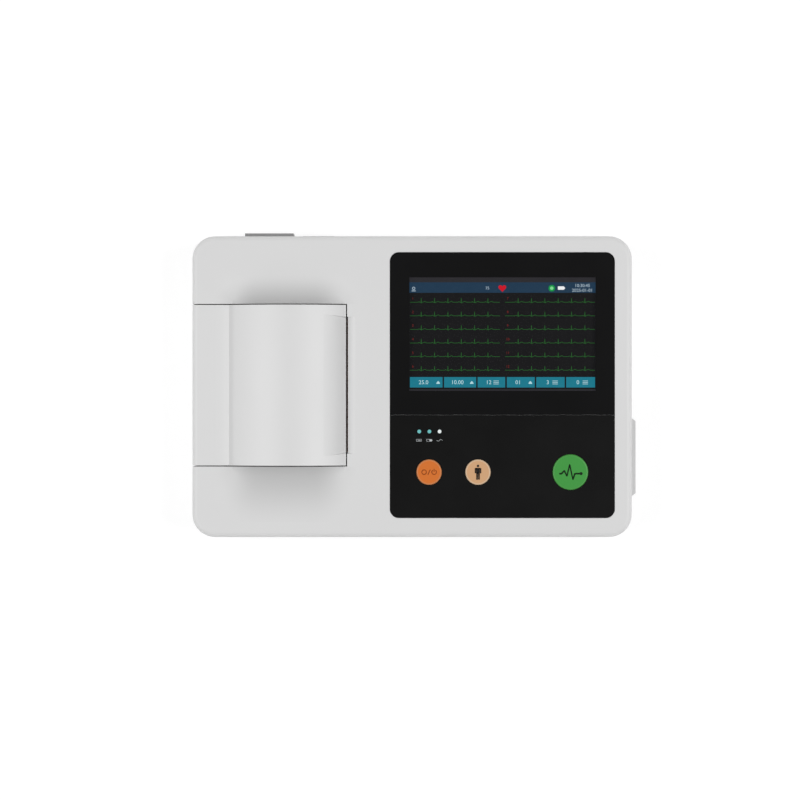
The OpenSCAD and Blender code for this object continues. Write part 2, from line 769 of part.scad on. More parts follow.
// Parts of the two boards keep their places on a grid of twelfths
module board_chips() {
    u = main_w / 12;
    v = main_d / 12;
    color(black_plastic) translate([main_x, main_y, main_z + board_t]) {
        translate([5.3 * u, 3.9 * v, 0]) cube([1.7 * u, 2.2 * v, 1.4]);
        for (i = [0:2]) translate([(2 + 2.6 * i) * u, 7.6 * v, 0]) cube([1.2 * u, v, 1.2]);
        for (i = [0:3]) translate([1.6 * u, (1.6 + 1.3 * i) * v, 0]) cube([u / 2, 0.8 * v, 1.1]);
        translate([3 * u, 10.8 * v, 0]) cube([3.5 * u, 0.7 * v, 4]);
        for (i = [0:1]) translate([9.8 * u, (2.6 + 3.1 * i) * v, 0]) cylinder(6, r = 0.4 * u);
    }
}

module power_board() {
    color(board_green) difference() {
        translate([power_x, power_y, low_board_z]) cube([power_w, power_d, board_t]);
        for (p = rect_holes(power_x, power_y, power_w, power_d, low_screw_inset + 1))
            translate([p[0], p[1], low_board_z - through]) cylinder(4, r = 1.2);
    }
}

module power_parts() {
    u = power_w / 12;
    v = power_d / 12;
    tall = 0.7 * battery_h;
    color("goldenrod") translate([power_x, power_y, low_board_z + board_t]) {
        translate([4.4 * u, 4.5 * v, 0]) cube([4 * u, 3.7 * v, tall]);
        translate([2 * u, 3.8 * v, 0]) cylinder(tall, r = 0.9 * min(u, v));
        translate([10 * u, 8.3 * v, 0]) cylinder(0.9 * tall, r = 0.8 * min(u, v));
        translate([9.4 * u, 2 * v, 0]) cube([1.2 * u, 4.1 * v, 0.9 * tall]);
        translate([1.6 * u, 8.3 * v, 0]) cube([1.8 * u, 2.5 * v, 0.6 * tall]);
    }
}

module interface_boards() {
    color(board_green) difference() {
        union() {
            translate([side_board_x, side_board_y, low_board_z])
                cube([side_board_w, side_board_d, board_t]);
            translate([lan_board_x, lan_board_y, low_board_z])
                cube([lan_board_w, lan_board_d, board_t]);
        }
        for (p = low_board_holes()) translate([p[0], p[1], low_board_z - through])
            cylinder(4, r = 1.2);
    }
}

module board_screws() {
    color(steel) {
        for (p = low_board_holes()) translate([p[0], p[1], low_board_z + board_t]) small_screw(spacer_h - 1.1);
        for (p = main_board_holes()) translate([p[0], p[1], main_z + board_t]) small_screw(1.4);
        at_posts() translate([0, 0, keypad_z]) mirror([0, 0, 1]) small_screw(3);
    }
}

// Pan head screw standing on Z = 0, with its shaft going down
module small_screw(l) {
    cylinder(1.2, r = 2);
    translate([0, 0, -l - board_t]) cylinder(l + board_t + eps, r = 1);
}

// Outline of the inlet's plug hole: two corners are cut off
module inlet_outline(w, h, cut) {
    difference() {
        translate([-w / 2, -h / 2]) square([w, h]);
        for (side = [0, 1]) mirror([side, 0]) translate([w / 2, h / 2])
            rotate(45) square([4 * cut, cut * sqrt(2)], center = true);
    }
}

module mains_inlet() {
    color(black_plastic) translate([inlet_x, back_y, socket_z]) rotate([90, 0, 180]) difference() {
        union() {
            translate([-inlet_w / 2, -inlet_h / 2, 0]) cube([inlet_w, inlet_h, back_out]);
            mirror([0, 0, 1]) translate([-inlet_w / 2 + 1.5 + fit, -inlet_h / 2 + 1.5 + fit, 0])
                cube([inlet_w - 3 - 2 * fit, inlet_h - 3 - 2 * fit, 19]);
        }
        translate([0, 0, -16]) linear_extrude(16 + back_out + through)
            inlet_outline(inlet_w - 5, inlet_h - 6, 3.5);
        for (x = [-7, 0, 7]) translate([x - 1, x == 0 ? 1 : -3, -19 - through])
            cube([2, 4, 19]);
    }
}

module inlet_pins() {
    color(steel) translate([inlet_x, back_y, socket_z]) rotate([90, 0, 180])
        for (x = [-7, 0, 7]) translate([x - 1, x == 0 ? 1 : -3, -23]) cube([2, 4, 21]);
}

module network_socket() {
    color(steel) translate([network_x, back_y, network_z]) difference() {
        union() {
            translate([-network_w / 2, -21, -network_h / 2]) cube([network_w, 21.6, network_h]);
            translate([-network_w / 2 - 1.15, 0, -network_h / 2]) cube([network_w + 2.3, 0.6, network_h + 1]);
        }
        translate([-5.9, -14, -network_h / 2 + 3.4]) cube([11.8, 16, 7.2]);
        translate([-3, -14, -network_h / 2 + 1.2]) cube([6, 16, 3]);
    }
}

module usb_sockets() {
    color(steel) for (y = usb_ys) translate([right_x, y, usb_z]) difference() {
        union() {
            translate([-14, -usb_w / 2, -usb_h / 2]) cube([14.4, usb_w, usb_h]);
            translate([0, -usb_w / 2 - 0.3, -usb_h / 2 - 0.3]) cube([0.4, usb_w + 0.6, usb_h + 0.6]);
        }
        difference() {
            translate([-10, -usb_w / 2 + 0.9, -usb_h / 2 + 0.9]) cube([12, usb_w - 1.8, usb_h - 1.8]);
            translate([-11, -usb_w / 2 + 1.6, -usb_h / 2 + 1.9]) cube([9.6, 1.8, usb_h - 3.8]);
        }
    }
}

// Outline of the patient socket: a D with round corners, 10 degrees of slope at its ends
module d_outline(w, h, r) {
    slant = h * tan(10);
    corners = [[-w / 2 + r, h / 2 - r], [w / 2 - r, h / 2 - r],
        [w / 2 - r - slant, r - h / 2], [r + slant - w / 2, r - h / 2]];
    polygon([
        [corners[0][0], h / 2], [corners[1][0], h / 2],
        [corners[1][0] + r * cos(10), corners[1][1] - r * sin(10)],
        [corners[2][0] + r * cos(10), corners[2][1] - r * sin(10)],
        [corners[2][0], -h / 2], [corners[3][0], -h / 2],
        [corners[3][0] - r * cos(10), corners[3][1] - r * sin(10)],
        [corners[0][0] - r * cos(10), corners[0][1] - r * sin(10)],
    ]);
    for (c = corners) translate(c) circle(r);
}

module patient_socket() {
    pin_pitch = 2.77;
    color(steel) translate([right_x, patient_y, socket_z]) rotate([90, 0, 90]) difference() {
        union() {
            translate([-19.5, -6.2, -wall - 0.9]) cube([39, 12.4, 0.9]);
            translate([0, 0, -wall - 0.9]) linear_extrude(wall + 0.9 + side_out - 0.4)
                d_outline(shell_w, shell_h, 2);
            translate([-shell_w / 2 - 2, -5.4, -wall - 9]) cube([shell_w + 4, 10.8, 8.2]);
        }
        for (s = [-1, 1]) translate([s * jack_pitch / 2, 0, -wall - 2]) cylinder(4, r = 1.5);
        for (i = [0:7]) translate([(i - 3.5) * pin_pitch, 1.42, side_out - 4]) cylinder(8, r = 0.6);
        for (i = [0:6]) translate([(i - 3) * pin_pitch, -1.42, side_out - 4]) cylinder(8, r = 0.6);
    }
}

module socket_surround() {
    color(white_plastic) translate([right_x, patient_y, socket_z]) rotate([90, 0, 90]) difference() {
        intersection() {
            translate([-surround_w / 2, -surround_h / 2, 0]) cube([surround_w, surround_h, side_out]);
            rotate([90, 0, 0]) translate([0, 0, -surround_h / 2]) linear_extrude(surround_h)
                polygon([[-surround_w / 2, 0], [surround_w / 2, 0],
                    [surround_w / 2 - surround_slope, side_out],
                    [surround_slope - surround_w / 2, side_out]]);
        }
        translate([0, 0, -through]) linear_extrude(side_out + 2 * through)
            d_outline(shell_w + 2 * fit, shell_h + 2 * fit, 2);
        for (s = [-1, 1]) translate([s * jack_pitch / 2, 0, -through]) cylinder(8, r = 3.2);
    }
}

module jack_screws() {
    color(steel) translate([right_x, patient_y, socket_z]) rotate([90, 0, 90])
        for (s = [-1, 1]) translate([s * jack_pitch / 2, 0, -wall]) difference() {
            union() {
                cylinder(wall + side_out - 0.6, r = 2.75, $fn = 6);
                translate([0, 0, -4]) cylinder(4 + eps, r = 1.5);
            }
            translate([0, 0, 1]) cylinder(10, r = 1.25);
        }
}

// Involute gear outline: the flanks are involutes of the base circle, thinned by the backlash
function involute(base, a) = base * [cos(a) + a * PI / 180 * sin(a), sin(a) - a * PI / 180 * cos(a)];
function turned(p, a) = [p[0] * cos(a) - p[1] * sin(a), p[0] * sin(a) + p[1] * cos(a)];
function roll_angle(base, r) = sqrt(pow(max(r, base) / base, 2) - 1) * 180 / PI;
function polar_angle(p) = atan2(p[1], p[0]);
module gear_outline(teeth, phase) {
    pitch = pitch_r(teeth);
    base = pitch * cos(pressure_angle);
    tip = pitch + 0.86 * gear_module;
    root = pitch - 1.15 * gear_module;
    half = 90 / teeth - backlash / 2 / pitch * 180 / PI
        + polar_angle(involute(base, roll_angle(base, pitch)));
    steps = 3;
    flank = [for (i = [0:steps])
        involute(base, roll_angle(base, base + (tip - base) * i / steps))];
    polygon([for (t = [0:teeth - 1]) let(mid = phase + t * 360 / teeth) each concat(
        [turned([root, 0], mid - half)],
        [for (p = flank) turned(p, mid - half)],
        [for (i = [0:steps]) let(p = flank[steps - i]) turned([p[0], -p[1]], mid + half)],
        [turned([root, 0], mid + half)])]);
}

// Gear in the printer's frame: its outline stands in X and Z
module gear(x, z, teeth, phase, y, bore) {
    translate([x, bay_y + y + gear_face, z]) rotate([90, 0, 0]) linear_extrude(gear_face)
        difference() {
            gear_outline(teeth, phase);
            circle(bore);
        }
}

module printer_frame() {
    color(steel) difference() {
        union() {
            both_ends() along_y(frame_in, frame_out) side_outline();
            translate([frame_left, bay_y - frame_in - eps, floor_z])
                cube([frame_right - frame_left, 2 * frame_in + 2 * eps, sheet]);
            translate([frame_right - sheet, bay_y - frame_in - eps, floor_z])
                cube([sheet, 2 * frame_in + 2 * eps, spring_z + 4 - floor_z]);
        }
        for (s = [-1, 1]) translate([frame_left + 7, bay_y + s * 26, 0])
            cylinder(floor_z + 4, r = screw_r);
        translate([frame_left + 5, bay_y - 15, floor_z - through]) cube([12, 30, 4]);
    }
}

// Side of the frame: the notch for the platen bush opens along the door's swing
module side_outline() {
    swing = atan2(platen_z - hinge_z, platen_x - hinge_x);
    difference() {
        translate([frame_left, floor_z]) square([frame_right - frame_left, frame_top - floor_z]);
        translate([platen_x, platen_z]) {
            circle(bush_r + fit);
            rotate(swing) translate([-bush_r - 3 * fit, 0])
                square([2 * bush_r + 3.5 * fit, 4 * bush_r]);
        }
        translate([head_pin_x, head_pin_z]) circle(pin_r);
    }
}

module motor_plate() {
    color(steel) difference() {
        translate([0, bay_y, 0]) along_y(plate_in, plate_out) difference() {
            translate([frame_left, floor_z])
                square([motor_x + motor_r - frame_left, frame_top - floor_z]);
            translate([compound_x, compound_z]) circle(stud_r);
            translate([motor_x, motor_z]) circle(motor_shaft_r + 2);
            for (p = spacer_points()) translate(p) circle(1);
        }
        translate([compound_x + 5, bay_y, compound_z + 14]) cube([60, 100, 60]);
    }
}

function spacer_points() = [[frame_left + 4, floor_z + 4], [frame_right - 5, floor_z + 4],
    [compound_x + 1, compound_z + 18]];

module frame_spacers() {
    color(steel) for (p = spacer_points()) {
        rod_y(p[0], p[1], bay_y + frame_out, bay_y + plate_in, 2);
        rod_y(p[0], p[1], bay_y + plate_in - eps, bay_y + plate_out + 0.5, 1);
    }
}

module gear_studs() {
    color(steel) for (p = [[idler_x, idler_z, plane_a + gear_face + 0.15],
            [compound_x, compound_z, plate_out]]) {
        rod_y(p[0], p[1], bay_y + plane_a - 0.2, bay_y + p[2], stud_r);
        rod_y(p[0], p[1], bay_y + frame_out, bay_y + plane_a - 0.2 + eps, stud_r + 1);
    }
}

module idler_gear() {
    color("ivory")
        gear(idler_x, idler_z, idler_teeth, idler_phase, plane_a, stud_r + running);
}

module compound_gear() {
    color("ivory") {
        gear(compound_x, compound_z, small_teeth, small_phase, plane_a, stud_r + running);
        difference() {
            rod_y(compound_x, compound_z, bay_y + plane_a + gear_face - eps,
                bay_y + plane_b + eps, pitch_r(small_teeth) - gear_module);
            rod_y(compound_x, compound_z, bay_y, bay_y + plate_out, stud_r + running);
        }
        gear(compound_x, compound_z, big_teeth, 0, plane_b, stud_r + running);
    }
}

module motor_pinion() {
    color("gold") gear(motor_x, motor_z, pinion_teeth, pinion_phase, plane_b, motor_shaft_r);
    color(steel) rod_y(motor_x, motor_z, bay_y + plane_b, bay_y + plate_out, motor_shaft_r);
}

module feed_motor() {
    color("dimgray") difference() {
        union() {
            rod_y(motor_x, motor_z, bay_y + plate_out, bay_y + plate_out + motor_l, motor_r);
            rod_y(motor_x, motor_z, bay_y + plate_in + 0.2, bay_y + plate_out + eps, motor_shaft_r + 2);
        }
        rod_y(motor_x, motor_z, bay_y, bay_y + plate_out + 6, motor_shaft_r + running);
    }
}

// Cradle for the roll, with the ramp that leads the paper to the platen
module tray_outline() {
    foot_l = 2 * tray_r - 4;
    difference() {
        union() {
            intersection() {
                translate([roll_x, roll_z]) circle(tray_r + tray_wall);
                translate([roll_x - 2 * tray_r, floor_z]) square([4 * tray_r, roll_z - floor_z]);
            }
            translate([roll_x - foot_l / 2, floor_z]) square([foot_l, tray_wall]);
            for (s = [-1, 1]) translate([roll_x + s * (tray_r - 6) - tray_wall / 2, floor_z])
                square([tray_wall, tray_r / 2]);
        }
        translate([roll_x, roll_z]) circle(tray_r);
        translate([roll_x + tray_r * sin(60), floor_z]) square([2 * tray_r, 2 * tray_r]);
    }
    translate([roll_x + tray_r * sin(60), roll_z - (tray_r + 0.1) * cos(60) - tray_wall])
        rotate(39) square([(frame_left - roll_x - tray_r * sin(60)) / cos(39) - 1.5, tray_wall]);
}

module paper_tray() {
    end_t = frame_in - arm_in - 0.2;
    color([0.75, 0.75, 0.75]) {
        translate([0, bay_y, 0]) along_y(-arm_in, arm_in) tray_outline();
        both_ends() along_y(arm_in - eps, arm_in + end_t) difference() {
            intersection() {
                translate([roll_x, roll_z]) circle(tray_r + tray_wall);
                translate([roll_x - 2 * tray_r, floor_z])
                    square([2 * tray_r + 14, roll_z + 2 * journal_r - floor_z]);
            }
            translate([roll_x, roll_z]) circle(journal_r + 0.1);
            translate([roll_x - journal_r - 0.1, roll_z]) square([2 * journal_r + 0.2, tray_r]);
        }
    }
}

module paper_sensor() {
    color(black_plastic) translate([frame_left - 3, bay_y - 5, floor_z])
        translate([8.5, 0, sheet]) cube([6, 10, 4]);
}

module head_pin() {
    color(steel) rod_y(head_pin_x, head_pin_z, bay_y - frame_out, bay_y + frame_out, pin_r);
}

// Heat sink of the print head, hung from its pin by two ears
module head_sink() {
    color("silver") {
        translate([0, bay_y, 0]) along_y(-head_half, head_half) translate([sink_x, head_low])
            square([sink_t, head_high - head_low]);
        both_ends() along_y(head_half - ear_t, head_half) difference() {
            union() {
                polygon([[sink_x, head_low], [sink_x + sink_t, head_low + 3],
                    [head_pin_x + pin_r + 1.5, head_pin_z],
                    [head_pin_x - pin_r - 1.5, head_pin_z], [sink_x, head_pin_z + 3]]);
                translate([head_pin_x, head_pin_z]) circle(pin_r + 1.5);
            }
            translate([head_pin_x, head_pin_z]) circle(pin_r + running);
        }
        translate([0, bay_y, 0]) for (s = [-1, 1])
            rod_x(sink_x + sink_t - eps, sink_x + sink_t + 1.5, s * spring_y, spring_z,
                spring_r - 2 * wire_r - 0.1);
    }
}

module rod_x(x0, x1, y, z, r) {
    translate([x0, y, z]) rotate([0, 90, 0]) cylinder(x1 - x0, r = r);
}

module head_ceramic() {
    color("ivory") translate([ceramic_x, bay_y - head_half, platen_z - 6])
        cube([ceramic_t, 2 * head_half, 10]);
}

// Two coil springs between the head and the frame
module head_springs() {
    turns = 6;
    l = frame_right - sheet - sink_x - sink_t;
    color(steel) for (s = [-1, 1])
        translate([sink_x + sink_t, bay_y + s * spring_y, spring_z]) rotate([0, 90, 0]) {
            linear_extrude(l, twist = 360 * turns, slices = 12 * turns, $fn = 6)
                translate([spring_r - wire_r, 0]) circle(wire_r, $fn = 6);
        }
}

module tear_bar() {
    pitch = 2;
    rise = 0.6;
    half = scoop_w / 2;
    top = slot_z - 0.2;
    low = roof_z - 2 - 1;
    teeth = floor(scoop_w / pitch);
    color([0.25, 0.12, 0.08]) {
        translate([blade_x, bay_y, 0]) rotate([90, 0, 90]) linear_extrude(blade_t)
            polygon(concat([[half, low], [-half, low], [-half, top - rise]],
                [for (i = [0:teeth - 1]) each [[(i - teeth / 2) * pitch + 0.2, top - rise],
                    [(i - teeth / 2 + 0.5) * pitch, top]]],
                [[half, top - rise]]));
        translate([blade_x + blade_t - eps, bay_y - half, low]) cube([7, scoop_w, 1]);
    }
}

module speaker() {
    color("dimgray") translate([speaker_x, speaker_y, floor_z]) rotate_extrude() {
        square([speaker_r, 1.6]);
        square([speaker_r - 4, speaker_t]);
    }
}

module hinge_pin() {
    color(steel) rod_y(hinge_x, hinge_z, bay_y - door_side - 6, bay_y + door_side + 6, pin_r);
}

// Outside of the door in X and Z: wall, deck with its dip, and hump
module door_outline() {
    difference() {
        union() {
            translate([left_x, hinge_z]) square([door_l, deck_z - edge_r - hinge_z]);
            translate([left_x + edge_r, hinge_z]) square([door_l - edge_r, deck_z - hinge_z]);
            translate([left_x + edge_r, deck_z - edge_r]) circle(edge_r);
        }
        difference() {
            translate([dip_x, roof_z]) square([hump_x - hump_chord / 2 + 1 - dip_x, 2 * wall]);
            translate([dip_x, dip_z]) circle(dip_r);
        }
    }
    intersection() {
        translate([hump_x, hump_z]) circle(hump_r, $fn = 96);
        translate([hump_x - hump_r, roof_z]) square([free_x - hump_x + hump_r, 2 * hump_h]);
    }
}

// Inside of the door, which follows the roll to the slot
module door_inside() {
    difference() {
        union() {
            translate([left_x + wall, 0]) square([door_l, roof_z]);
            intersection() {
                translate([hump_x, hump_z]) circle(hump_r - wall, $fn = 96);
                translate([left_x + wall, 0]) square([door_l, 2 * deck_z]);
            }
        }
        difference() {
            translate([lip_start, 0]) square([door_l, 2 * deck_z]);
            translate([lip_x, lip_z]) circle(lip_r - wall);
        }
    }
}

module printer_door() {
    boss_z = roof_z + 0.4;
    color(white_plastic) difference() {
        union() {
            translate([0, bay_y, 0]) along_y(-door_side, door_side) difference() {
                door_outline();
                door_inside();
            }
            rod_y(hinge_x, hinge_z, bay_y - door_side, bay_y + door_side, barrel_r);
            both_ends() along_y(door_side - skirt_t, door_side) intersection() {
                door_outline();
                translate([left_x, roof_z - 4]) square([cap_right - left_x, 2 * hump_h]);
            }
            for (p = carrier_points()) intersection() {
                translate([p[0], p[1], boss_z]) cylinder(2 * hump_h, r = 3);
                rod_y(hump_x, hump_z, bay_y - door_side, bay_y + door_side, hump_r - wall / 2);
            }
        }
        scoop_cutter();
        rod_y(hinge_x, hinge_z, bay_y - door_side - through, bay_y + door_side + through,
            pin_r + running);
        for (p = carrier_points()) translate([p[0], p[1], boss_z - through])
            cylinder(5 + through, r = 1);
    }
}

carrier_x = platen_x - 20;
carrier_w = 12;
carrier_t = 2;
carrier_z = roof_z + 0.4 - carrier_t;
function carrier_points() = [for (s = [-1, 0, 1]) [carrier_x + carrier_w / 2 - 1, bay_y + s * 30]];

// Inner moulding of the door that carries the platen
module platen_carrier() {
    color([0.75, 0.75, 0.75]) difference() {
        union() {
            translate([carrier_x, bay_y - arm_in - arm_t, carrier_z])
                cube([carrier_w, 2 * arm_in + 2 * arm_t, carrier_t]);
            both_ends() along_y(arm_in, arm_in + arm_t) {
                polygon([[carrier_x, carrier_z + carrier_t],
                    [carrier_x + carrier_w + 2, carrier_z + carrier_t],
                    [platen_x, platen_z + bush_r + 1.6], [platen_x, platen_z - bush_r - 1.6],
                    [carrier_x, carrier_z - 1]]);
                translate([platen_x, platen_z]) circle(bush_r + 1.6);
            }
        }
        rod_y(platen_x, platen_z, bay_y - 60, bay_y + 60, bush_r);
        for (p = carrier_points()) translate([p[0], p[1], carrier_z - through]) cylinder(4, r = 1.2);
    }
}

module carrier_screws() {
    color(steel) for (p = carrier_points()) translate([p[0], p[1], carrier_z])
        mirror([0, 0, 1]) small_screw(3.5 + carrier_t - board_t);
}

module platen_bushes() {
    color("ivory") both_ends() difference() {
        rod_y(platen_x, platen_z, arm_in, frame_out - 0.1, bush_r);
        rod_y(platen_x, platen_z, arm_in - through, frame_out + through, shaft_r + running);
    }
}

module platen_shaft() {
    color(steel) rod_y(platen_x, platen_z, bay_y - frame_out - 1, bay_y + plane_a + gear_face + 0.2,
        shaft_r);
}

module platen_rubber() {
    color(rubber_grey) difference() {
        rod_y(platen_x, platen_z, bay_y - rubber_half, bay_y + rubber_half, platen_r);
        rod_y(platen_x, platen_z, bay_y - 60, bay_y + 60, shaft_r);
    }
}

module platen_gear() {
    color("ivory") gear(platen_x, platen_z, platen_teeth, 0, plane_a, shaft_r);
}

module paper_roll() {
    color("white") difference() {
        rod_y(roll_x, roll_z, bay_y - paper_w / 2, bay_y + paper_w / 2, roll_r);
        rod_y(roll_x, roll_z, bay_y - 60, bay_y + 60, core_r);
    }
}

module paper_core() {
    color("tan") difference() {
        rod_y(roll_x, roll_z, bay_y - paper_w / 2, bay_y + paper_w / 2, core_r);
        rod_y(roll_x, roll_z, bay_y - 60, bay_y + 60, core_r - 1.5);
    }
}

module paper_spindle() {
    color([0.6, 0.6, 0.62]) {
        rod_y(roll_x, roll_z, bay_y - paper_w / 2 - 0.3, bay_y + paper_w / 2 + 0.3, core_r - 1.5);
        rod_y(roll_x, roll_z, bay_y - frame_in + 0.3, bay_y + frame_in - 0.3, journal_r);
    }
}

// Key cap: round rim over the panel, retaining flange and stem under it
module key_cap(r) {
    rim = 0.8;
    rotate_extrude() {
        translate([0, flange_z + flange_h - eps])
            edge_section(r, panel_top + key_proud - flange_z - flange_h + eps, rim);
        translate([0, flange_z]) square([r + flange_w, flange_h]);
        translate([0, stem_z]) square([plunger_r + 1, key_stem + eps]);
    }
}

module plunger(x) {
    color("saddlebrown") translate([panel_x + x, key_y, plunger_z]) cylinder(plunger_l, r = plunger_r);
}

module power_key() {
    color([0.84, 0.45, 0.2]) translate([panel_x + power_key_x, key_y, 0]) key_cap(small_key_r);
}

module patient_key() {
    color([0.8, 0.63, 0.46]) translate([panel_x + patient_key_x, key_y, 0]) key_cap(small_key_r);
}

module print_key() {
    color([0.27, 0.6, 0.26]) translate([panel_x + print_key_x, key_y, 0]) key_cap(print_key_r);
}

module power_plunger() plunger(power_key_x);
module patient_plunger() plunger(patient_key_x);
module print_plunger() plunger(print_key_x);

bottom_housing();
top_housing();
battery_cover();
battery_pack();
rubber_feet();
housing_screws();
display_lens();
keypad_panel();
lcd_frame();
lcd_glass();
keypad_board();
key_switches();
status_leds();
main_board();
board_chips();
power_board();
power_parts();
interface_boards();
mains_inlet();
inlet_pins();
network_socket();
usb_sockets();
patient_socket();
socket_surround();
jack_screws();
printer_frame();
motor_plate();
frame_spacers();
paper_tray();
head_pin();
head_springs();
feed_motor();
gear_studs();
tear_bar();
paper_sensor();
speaker();
hinge_pin();
board_screws();
printer_door();
platen_carrier();
carrier_screws();
platen_bushes();
platen_shaft();
platen_rubber();
platen_gear();
paper_roll();
paper_core();
paper_spindle();
idler_gear();
compound_gear();
motor_pinion();
head_sink();
head_ceramic();
power_key();
patient_key();
print_key();
power_plunger();
patient_plunger();
print_plunger();
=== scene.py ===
import math

import bmesh
import bpy
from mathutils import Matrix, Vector


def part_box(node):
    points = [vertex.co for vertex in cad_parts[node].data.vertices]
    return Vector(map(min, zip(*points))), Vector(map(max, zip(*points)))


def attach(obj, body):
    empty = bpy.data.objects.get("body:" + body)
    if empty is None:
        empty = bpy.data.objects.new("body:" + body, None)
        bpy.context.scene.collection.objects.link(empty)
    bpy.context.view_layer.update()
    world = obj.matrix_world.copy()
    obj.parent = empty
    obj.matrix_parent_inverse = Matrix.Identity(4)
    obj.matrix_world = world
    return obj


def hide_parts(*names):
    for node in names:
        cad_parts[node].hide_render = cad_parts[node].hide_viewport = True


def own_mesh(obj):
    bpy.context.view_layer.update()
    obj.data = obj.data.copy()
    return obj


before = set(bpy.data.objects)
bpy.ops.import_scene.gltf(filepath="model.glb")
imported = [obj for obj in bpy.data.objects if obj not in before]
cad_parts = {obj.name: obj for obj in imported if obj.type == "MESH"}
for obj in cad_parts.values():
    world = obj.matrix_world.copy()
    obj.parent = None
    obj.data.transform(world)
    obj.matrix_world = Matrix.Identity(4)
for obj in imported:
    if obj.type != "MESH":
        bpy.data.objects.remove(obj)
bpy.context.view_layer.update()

mm = 0.001
lensLow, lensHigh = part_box("display_lens")
panelTop = lensHigh.z
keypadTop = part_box("keypad_panel")[1].z
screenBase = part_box("lcd_glass")[1].z
print("frame loaded:", len(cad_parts), "nodes")


def deselectAll():
    if bpy.context.mode != "OBJECT":
        bpy.ops.object.mode_set(mode="OBJECT")
    bpy.ops.object.select_all(action="DESELECT")


def pickOnly(piece):
    deselectAll()
    piece.select_set(True)
    bpy.context.view_layer.objects.active = piece


def freeze(piece):  # its place goes into its mesh
    pickOnly(piece)
    bpy.ops.object.transform_apply(location=True, rotation=True, scale=True)
    return piece


def rename(piece, name):
    piece.name = name
    piece.data.name = name
    return piece


def joined(pieces, name):
    deselectAll()
    for piece in pieces:
        piece.select_set(True)
    bpy.context.view_layer.objects.active = pieces[0]
    if len(pieces) > 1:
        bpy.ops.object.join()
    return rename(bpy.context.view_layer.objects.active, name)


def editMesh(piece):
    pickOnly(piece)
    bpy.ops.object.mode_set(mode="EDIT")
    return bmesh.from_edit_mesh(piece.data)


def addWall(piece, thick):  # inwards from its faces
    pickOnly(piece)
    wall = piece.modifiers.new("wall", "SOLIDIFY")
    wall.thickness = thick
    wall.offset = -1
    bpy.ops.object.modifier_apply(modifier="wall")


def smoothed(piece, sharp=35):  # edges under this many degrees shade as one surface
    pickOnly(piece)
    bpy.ops.object.shade_smooth_by_angle(angle=math.radians(sharp))


def pickEdges(mesh, wanted):
    for part in (mesh.verts, mesh.edges, mesh.faces):
        for element in part:
            element.select = False
    for edge in mesh.edges:
        if wanted(edge):
            edge.select_set(True)
    mesh.select_flush_mode()


def roundedSlab(low, high, base, thick, corner):  # printed and lit shapes are thin and flat
    centre = ((low[0] + high[0]) / 2, (low[1] + high[1]) / 2, base + thick / 2)
    deselectAll()
    bpy.ops.mesh.primitive_cube_add(size=1, location=centre)
    slab = bpy.context.object
    slab.scale = (high[0] - low[0], high[1] - low[1], thick)
    freeze(slab)
    mesh = editMesh(slab)
    pickEdges(mesh, lambda e: abs(e.verts[0].co.z - e.verts[1].co.z) > thick / 2)
    bpy.ops.mesh.bevel(offset=corner, segments=4, affect="EDGES")
    deselectAll()
    return slab


def disc(centre, base, thick, radius, sides=28):
    deselectAll()
    bpy.ops.mesh.primitive_cylinder_add(
        vertices=sides, radius=radius, depth=thick, location=(*centre, base + thick / 2))
    return freeze(bpy.context.object)


def eased(points, reach, closed):
    # an extra point on each side of a corner, so that the line keeps its width there
    ends = points[-1:] + points + points[:1] if closed else points
    out = [] if closed else [points[0]]
    for before, corner, after in zip(ends, ends[1:], ends[2:]):
        for other in (before, after):
            gap = math.dist(corner, other)
            step = min(reach, gap * 0.4) / gap
            out.append((corner[0] + (other[0] - corner[0]) * step,
                        corner[1] + (other[1] - corner[1]) * step))
    return out if closed else out + [points[-1]]


def stroke(points, base, width, closed=False, flat=0.25, ease=True):
    if ease and len(points) > 2:
        points = eased(list(points), width * 0.3, closed)
    deselectAll()
    bpy.ops.curve.primitive_nurbs_path_add(location=(0, 0, 0))
    line = bpy.context.object
    line.data.splines.clear()
    spline = line.data.splines.new("POLY")
    spline.points.add(len(points) - 1)
    for point, (x, y) in zip(spline.points, points):
        point.co = (x, y, 0, 1)
    spline.use_cyclic_u = closed
    line.data.dimensions = "3D"
    line.data.bevel_depth = width / 2
    line.data.bevel_resolution = 1
    line.data.use_fill_caps = True
    pickOnly(line)
    bpy.ops.object.convert(target="MESH")
    line = bpy.context.object
    line.scale.z = flat
    line.location.z = base
    return freeze(line)


def digits(words, centre, base, height, thick=0.02 * mm, align="CENTER"):
    deselectAll()
    bpy.ops.object.text_add(location=(0, 0, 0))
    label = bpy.context.object
    label.data.body = words
    label.data.size = height * 1.4
    label.data.align_x = align
    label.data.align_y = "CENTER"
    label.data.resolution_u = 3
    label.data.extrude = thick / 2
    pickOnly(label)
    bpy.ops.object.convert(target="MESH")
    label = bpy.context.object
    label.location = (centre[0], centre[1], base + thick / 2)
    return freeze(label)


def ring(centre, radius, base, width, start=0, end=360, flat=0.25):
    whole = end - start == 360
    line = arc(centre, radius, start, end, 24)
    return stroke(line[:-1] if whole else line, base, width, whole, flat, ease=False)


def arc(centre, radius, start, end, steps):
    return [(centre[0] + radius * math.cos(math.radians(start + (end - start) * i / steps)),
             centre[1] + radius * math.sin(math.radians(start + (end - start) * i / steps)))
            for i in range(steps + 1)]


def newGroup(name, inputs, outputs):  # a shader node group with named sockets
    group = bpy.data.node_groups.new(name, "ShaderNodeTree")
    for socketName, kind, value in inputs:
        socket = group.interface.new_socket(name=socketName, in_out="INPUT", socket_type=kind)
        socket.default_value = value
    for socketName, kind in outputs:
        group.interface.new_socket(name=socketName, in_out="OUTPUT", socket_type=kind)
    return group, group.nodes.new("NodeGroupInput"), group.nodes.new("NodeGroupOutput")


def preset(node, values):
    for socketName, value in values.items():
        node.inputs[socketName].default_value = value


